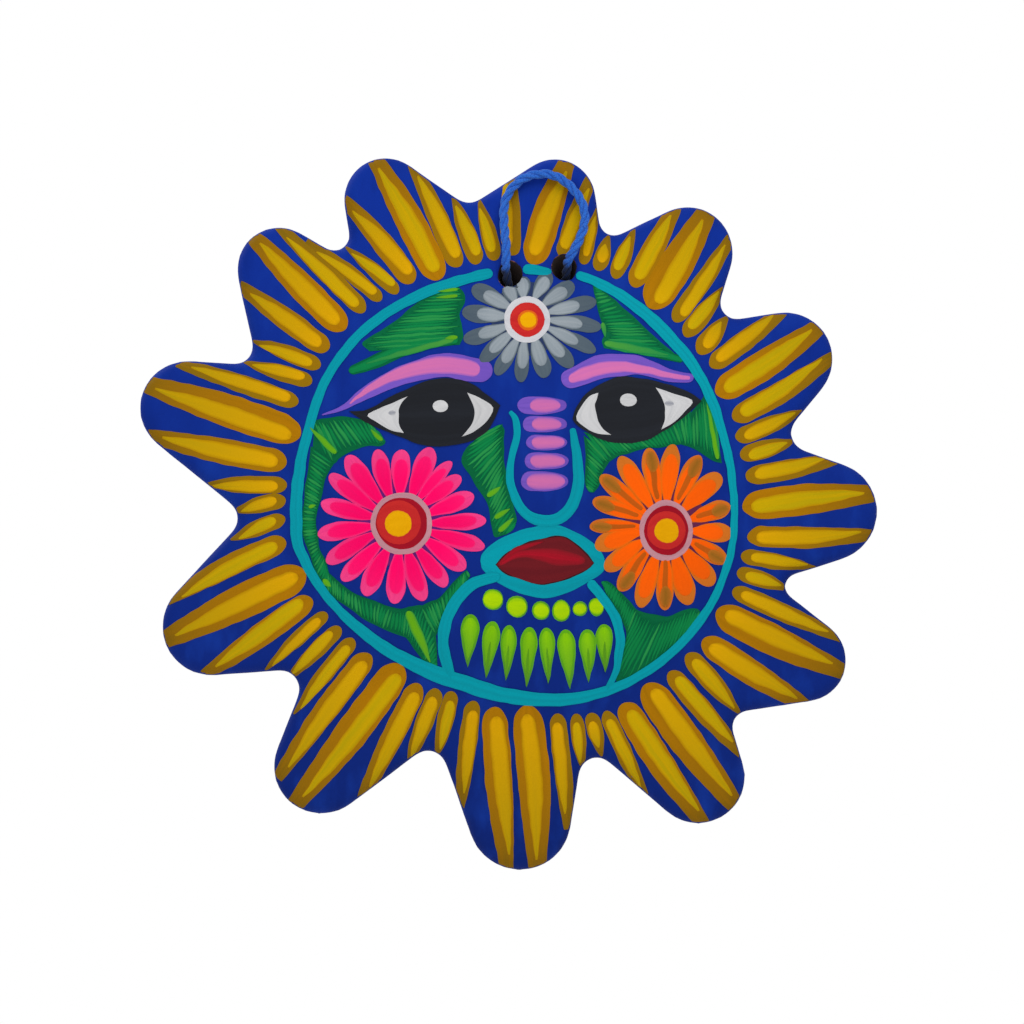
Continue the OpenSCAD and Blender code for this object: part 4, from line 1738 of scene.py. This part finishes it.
FOREHEAD_FLOWER = Flower(
    name="forehead_flower", centre=(3.0, 45.7), heart=(2.7, 45.3), start=5.5,
    petals=(
        (19, 26, 14, 4.4), (48, 53, 15.5, 4.8), (73.5, 75.5, 19, 4.4), (94, 97, 20, 4.2),
        (115, 116, 20.5, 4), (136, 138, 18, 4.6), (164, 163, 17, 4.8), (189, 187, 17.5, 4),
        (207.5, 209.5, 17.5, 4), (230, 227.5, 17.5, 4.2), (249, 251, 18.5, 4.4), (274, 276, 18, 4.8),
        (300, 299.5, 17.5, 4.8), (322, 329, 11, 4.4), (347, 352.5, 11.5, 4.4)),
    ground_radius=10.0, ring=(6.3, 4.7), red=2.8, red_centre=(3.0, 45.2), eye=2.2, eye_centre=(3.0, 45.2),
    light_reach=(6.0, 0.45), light_share=0.84,
    outer=Paint("grey_petal", "55626c", "465463", "4d5c68"),
    inner=Paint("pale_grey_petal", "8d979f", "a0a8ae", "7f8a93", edge="5e6a74", soft=0.5),
    ground=Paint("grey_flower_ground", "2c3a5c", "26345c", "2a3960"),
    ring_paint=Paint("white_flower_ring", "c8c8cd", "b4b4bc", "c8c8cc"),
    shade_paint=Paint("forehead_red", "c52a28", "b01c24", "c02828"),
    red_paint=Paint("forehead_orange", "dd6414", "d45a18", "dc6816"))

LEFT_FLOWER = Flower(
    name="left_cheek_flower", centre=(-31.3, -9.8), heart=(-31.2, -9.9), start=7.5,
    petals=(
        (357.5, 360.5, 20, 5.2), (21, 22, 22, 5.6), (36, 39, 21.5, 3.6), (50, 52, 20.5, 4.4),
        (70, 69, 21, 5), (90, 88, 23, 4.4), (107.5, 106, 23.5, 4.7), (124, 126, 21.5, 5.2),
        (147.5, 144, 21, 4.8), (167.5, 164, 22, 5.1), (185, 185, 22, 5.4), (209, 207, 22, 5.4),
        (227.5, 226, 22.5, 4.9), (247.5, 242.5, 23, 4.8), (264, 262, 23, 4.9),
        (282.5, 284, 22.5, 4.9), (299, 304, 23.5, 4.8), (316, 321, 23.5, 5.5), (336, 342, 21, 4.9)),
    ground_radius=12.0, ring=(8.4, 7.0), red=6.0, red_centre=(-32.0, -9.6), eye=3.6,
    eye_centre=(-32.1, -9.9), light_reach=(-2.0, 0.97), light_share=0.88,
    outer=Paint("pink_petal", "f5327d", "da2f80", "f04a8c"),
    inner=Paint("rose_petal", "ff0064", "f01068", "fb1c70", edge="f5327d", soft=0.5),
    ground=Paint("purple_flower_ground", "6e1e73", "551f74", "5c2078"),
    ring_paint=BLUSH)

RIGHT_FLOWER = Flower(
    name="right_cheek_flower", centre=(40.5, -11.4), heart=(40.4, -11.8), start=7.0,
    petals=(
        (0.5, 4.5, 23, 5.2), (20.5, 24.5, 22, 5), (40, 45.5, 21, 5.8), (67.5, 70.5, 18.5, 5.2),
        (94, 94, 18, 5.4), (116, 119, 18.5, 5), (140, 140, 20, 5.6), (162.5, 163, 21.5, 5.8),
        (182, 181, 22, 4.8), (201, 199, 22.5, 5.2), (223, 217.5, 21, 5), (242.5, 236, 20, 5),
        (264, 255.5, 20, 5.4), (275, 272, 21, 4), (295, 291, 21.5, 4.8), (307.5, 309, 23, 5),
        (326, 327, 23.5, 5.2), (343, 347.5, 22.5, 5)),
    ground_radius=11.5, ring=(7.3, 6.0), red=5.2, red_centre=(40.4, -11.8), eye=3.4,
    eye_centre=(40.4, -11.9), light_reach=(-2.0, 0.97), light_share=0.88, stretch=1.12,
    burnt=(1, 3, 5, 8, 10, 13, 14, 15, 17),
    outer=Paint("orange_petal", "d76e1e", "c66c1e", "c06c22"),
    inner=Paint("bright_orange_petal", "ff5f00", "f05c08", "ec5e08", edge="e0690f", soft=0.5),
    ground=Paint("maroon_flower_ground", "6e2846", "5a2450", "60264c"),
    ring_paint=BLUSH)


def main() -> None:
    """Builds and dresses every piece in order."""
    logging.basicConfig(level=logging.INFO, format="%(name)s %(message)s")
    noise.seed_set(NOISE_SEED)
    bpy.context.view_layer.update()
    Studio().build()
    sun = ClaySun()
    hanging = HangingCord()
    cord, knot = hanging.build()
    hanging.shade_in_holes(cord, sun)
    hanging.shade_in_holes(knot, sun)
    hanging.dress(cord, knot)
    clay = sun.build()
    sun.dress(clay)
    canvas = sun.canvas(clay)
    ring = FaceRing()
    motifs = [
        ring, RayStrokes(ring), Foliage(), FOREHEAD_FLOWER, LEFT_FLOWER, RIGHT_FLOWER, Brows(), Eyes(),
        Nose(), Mouth(), Chin()]
    for motif in motifs:
        for coat in motif.build(canvas):
            coat.finish()


if __name__ == "__main__":
    main()
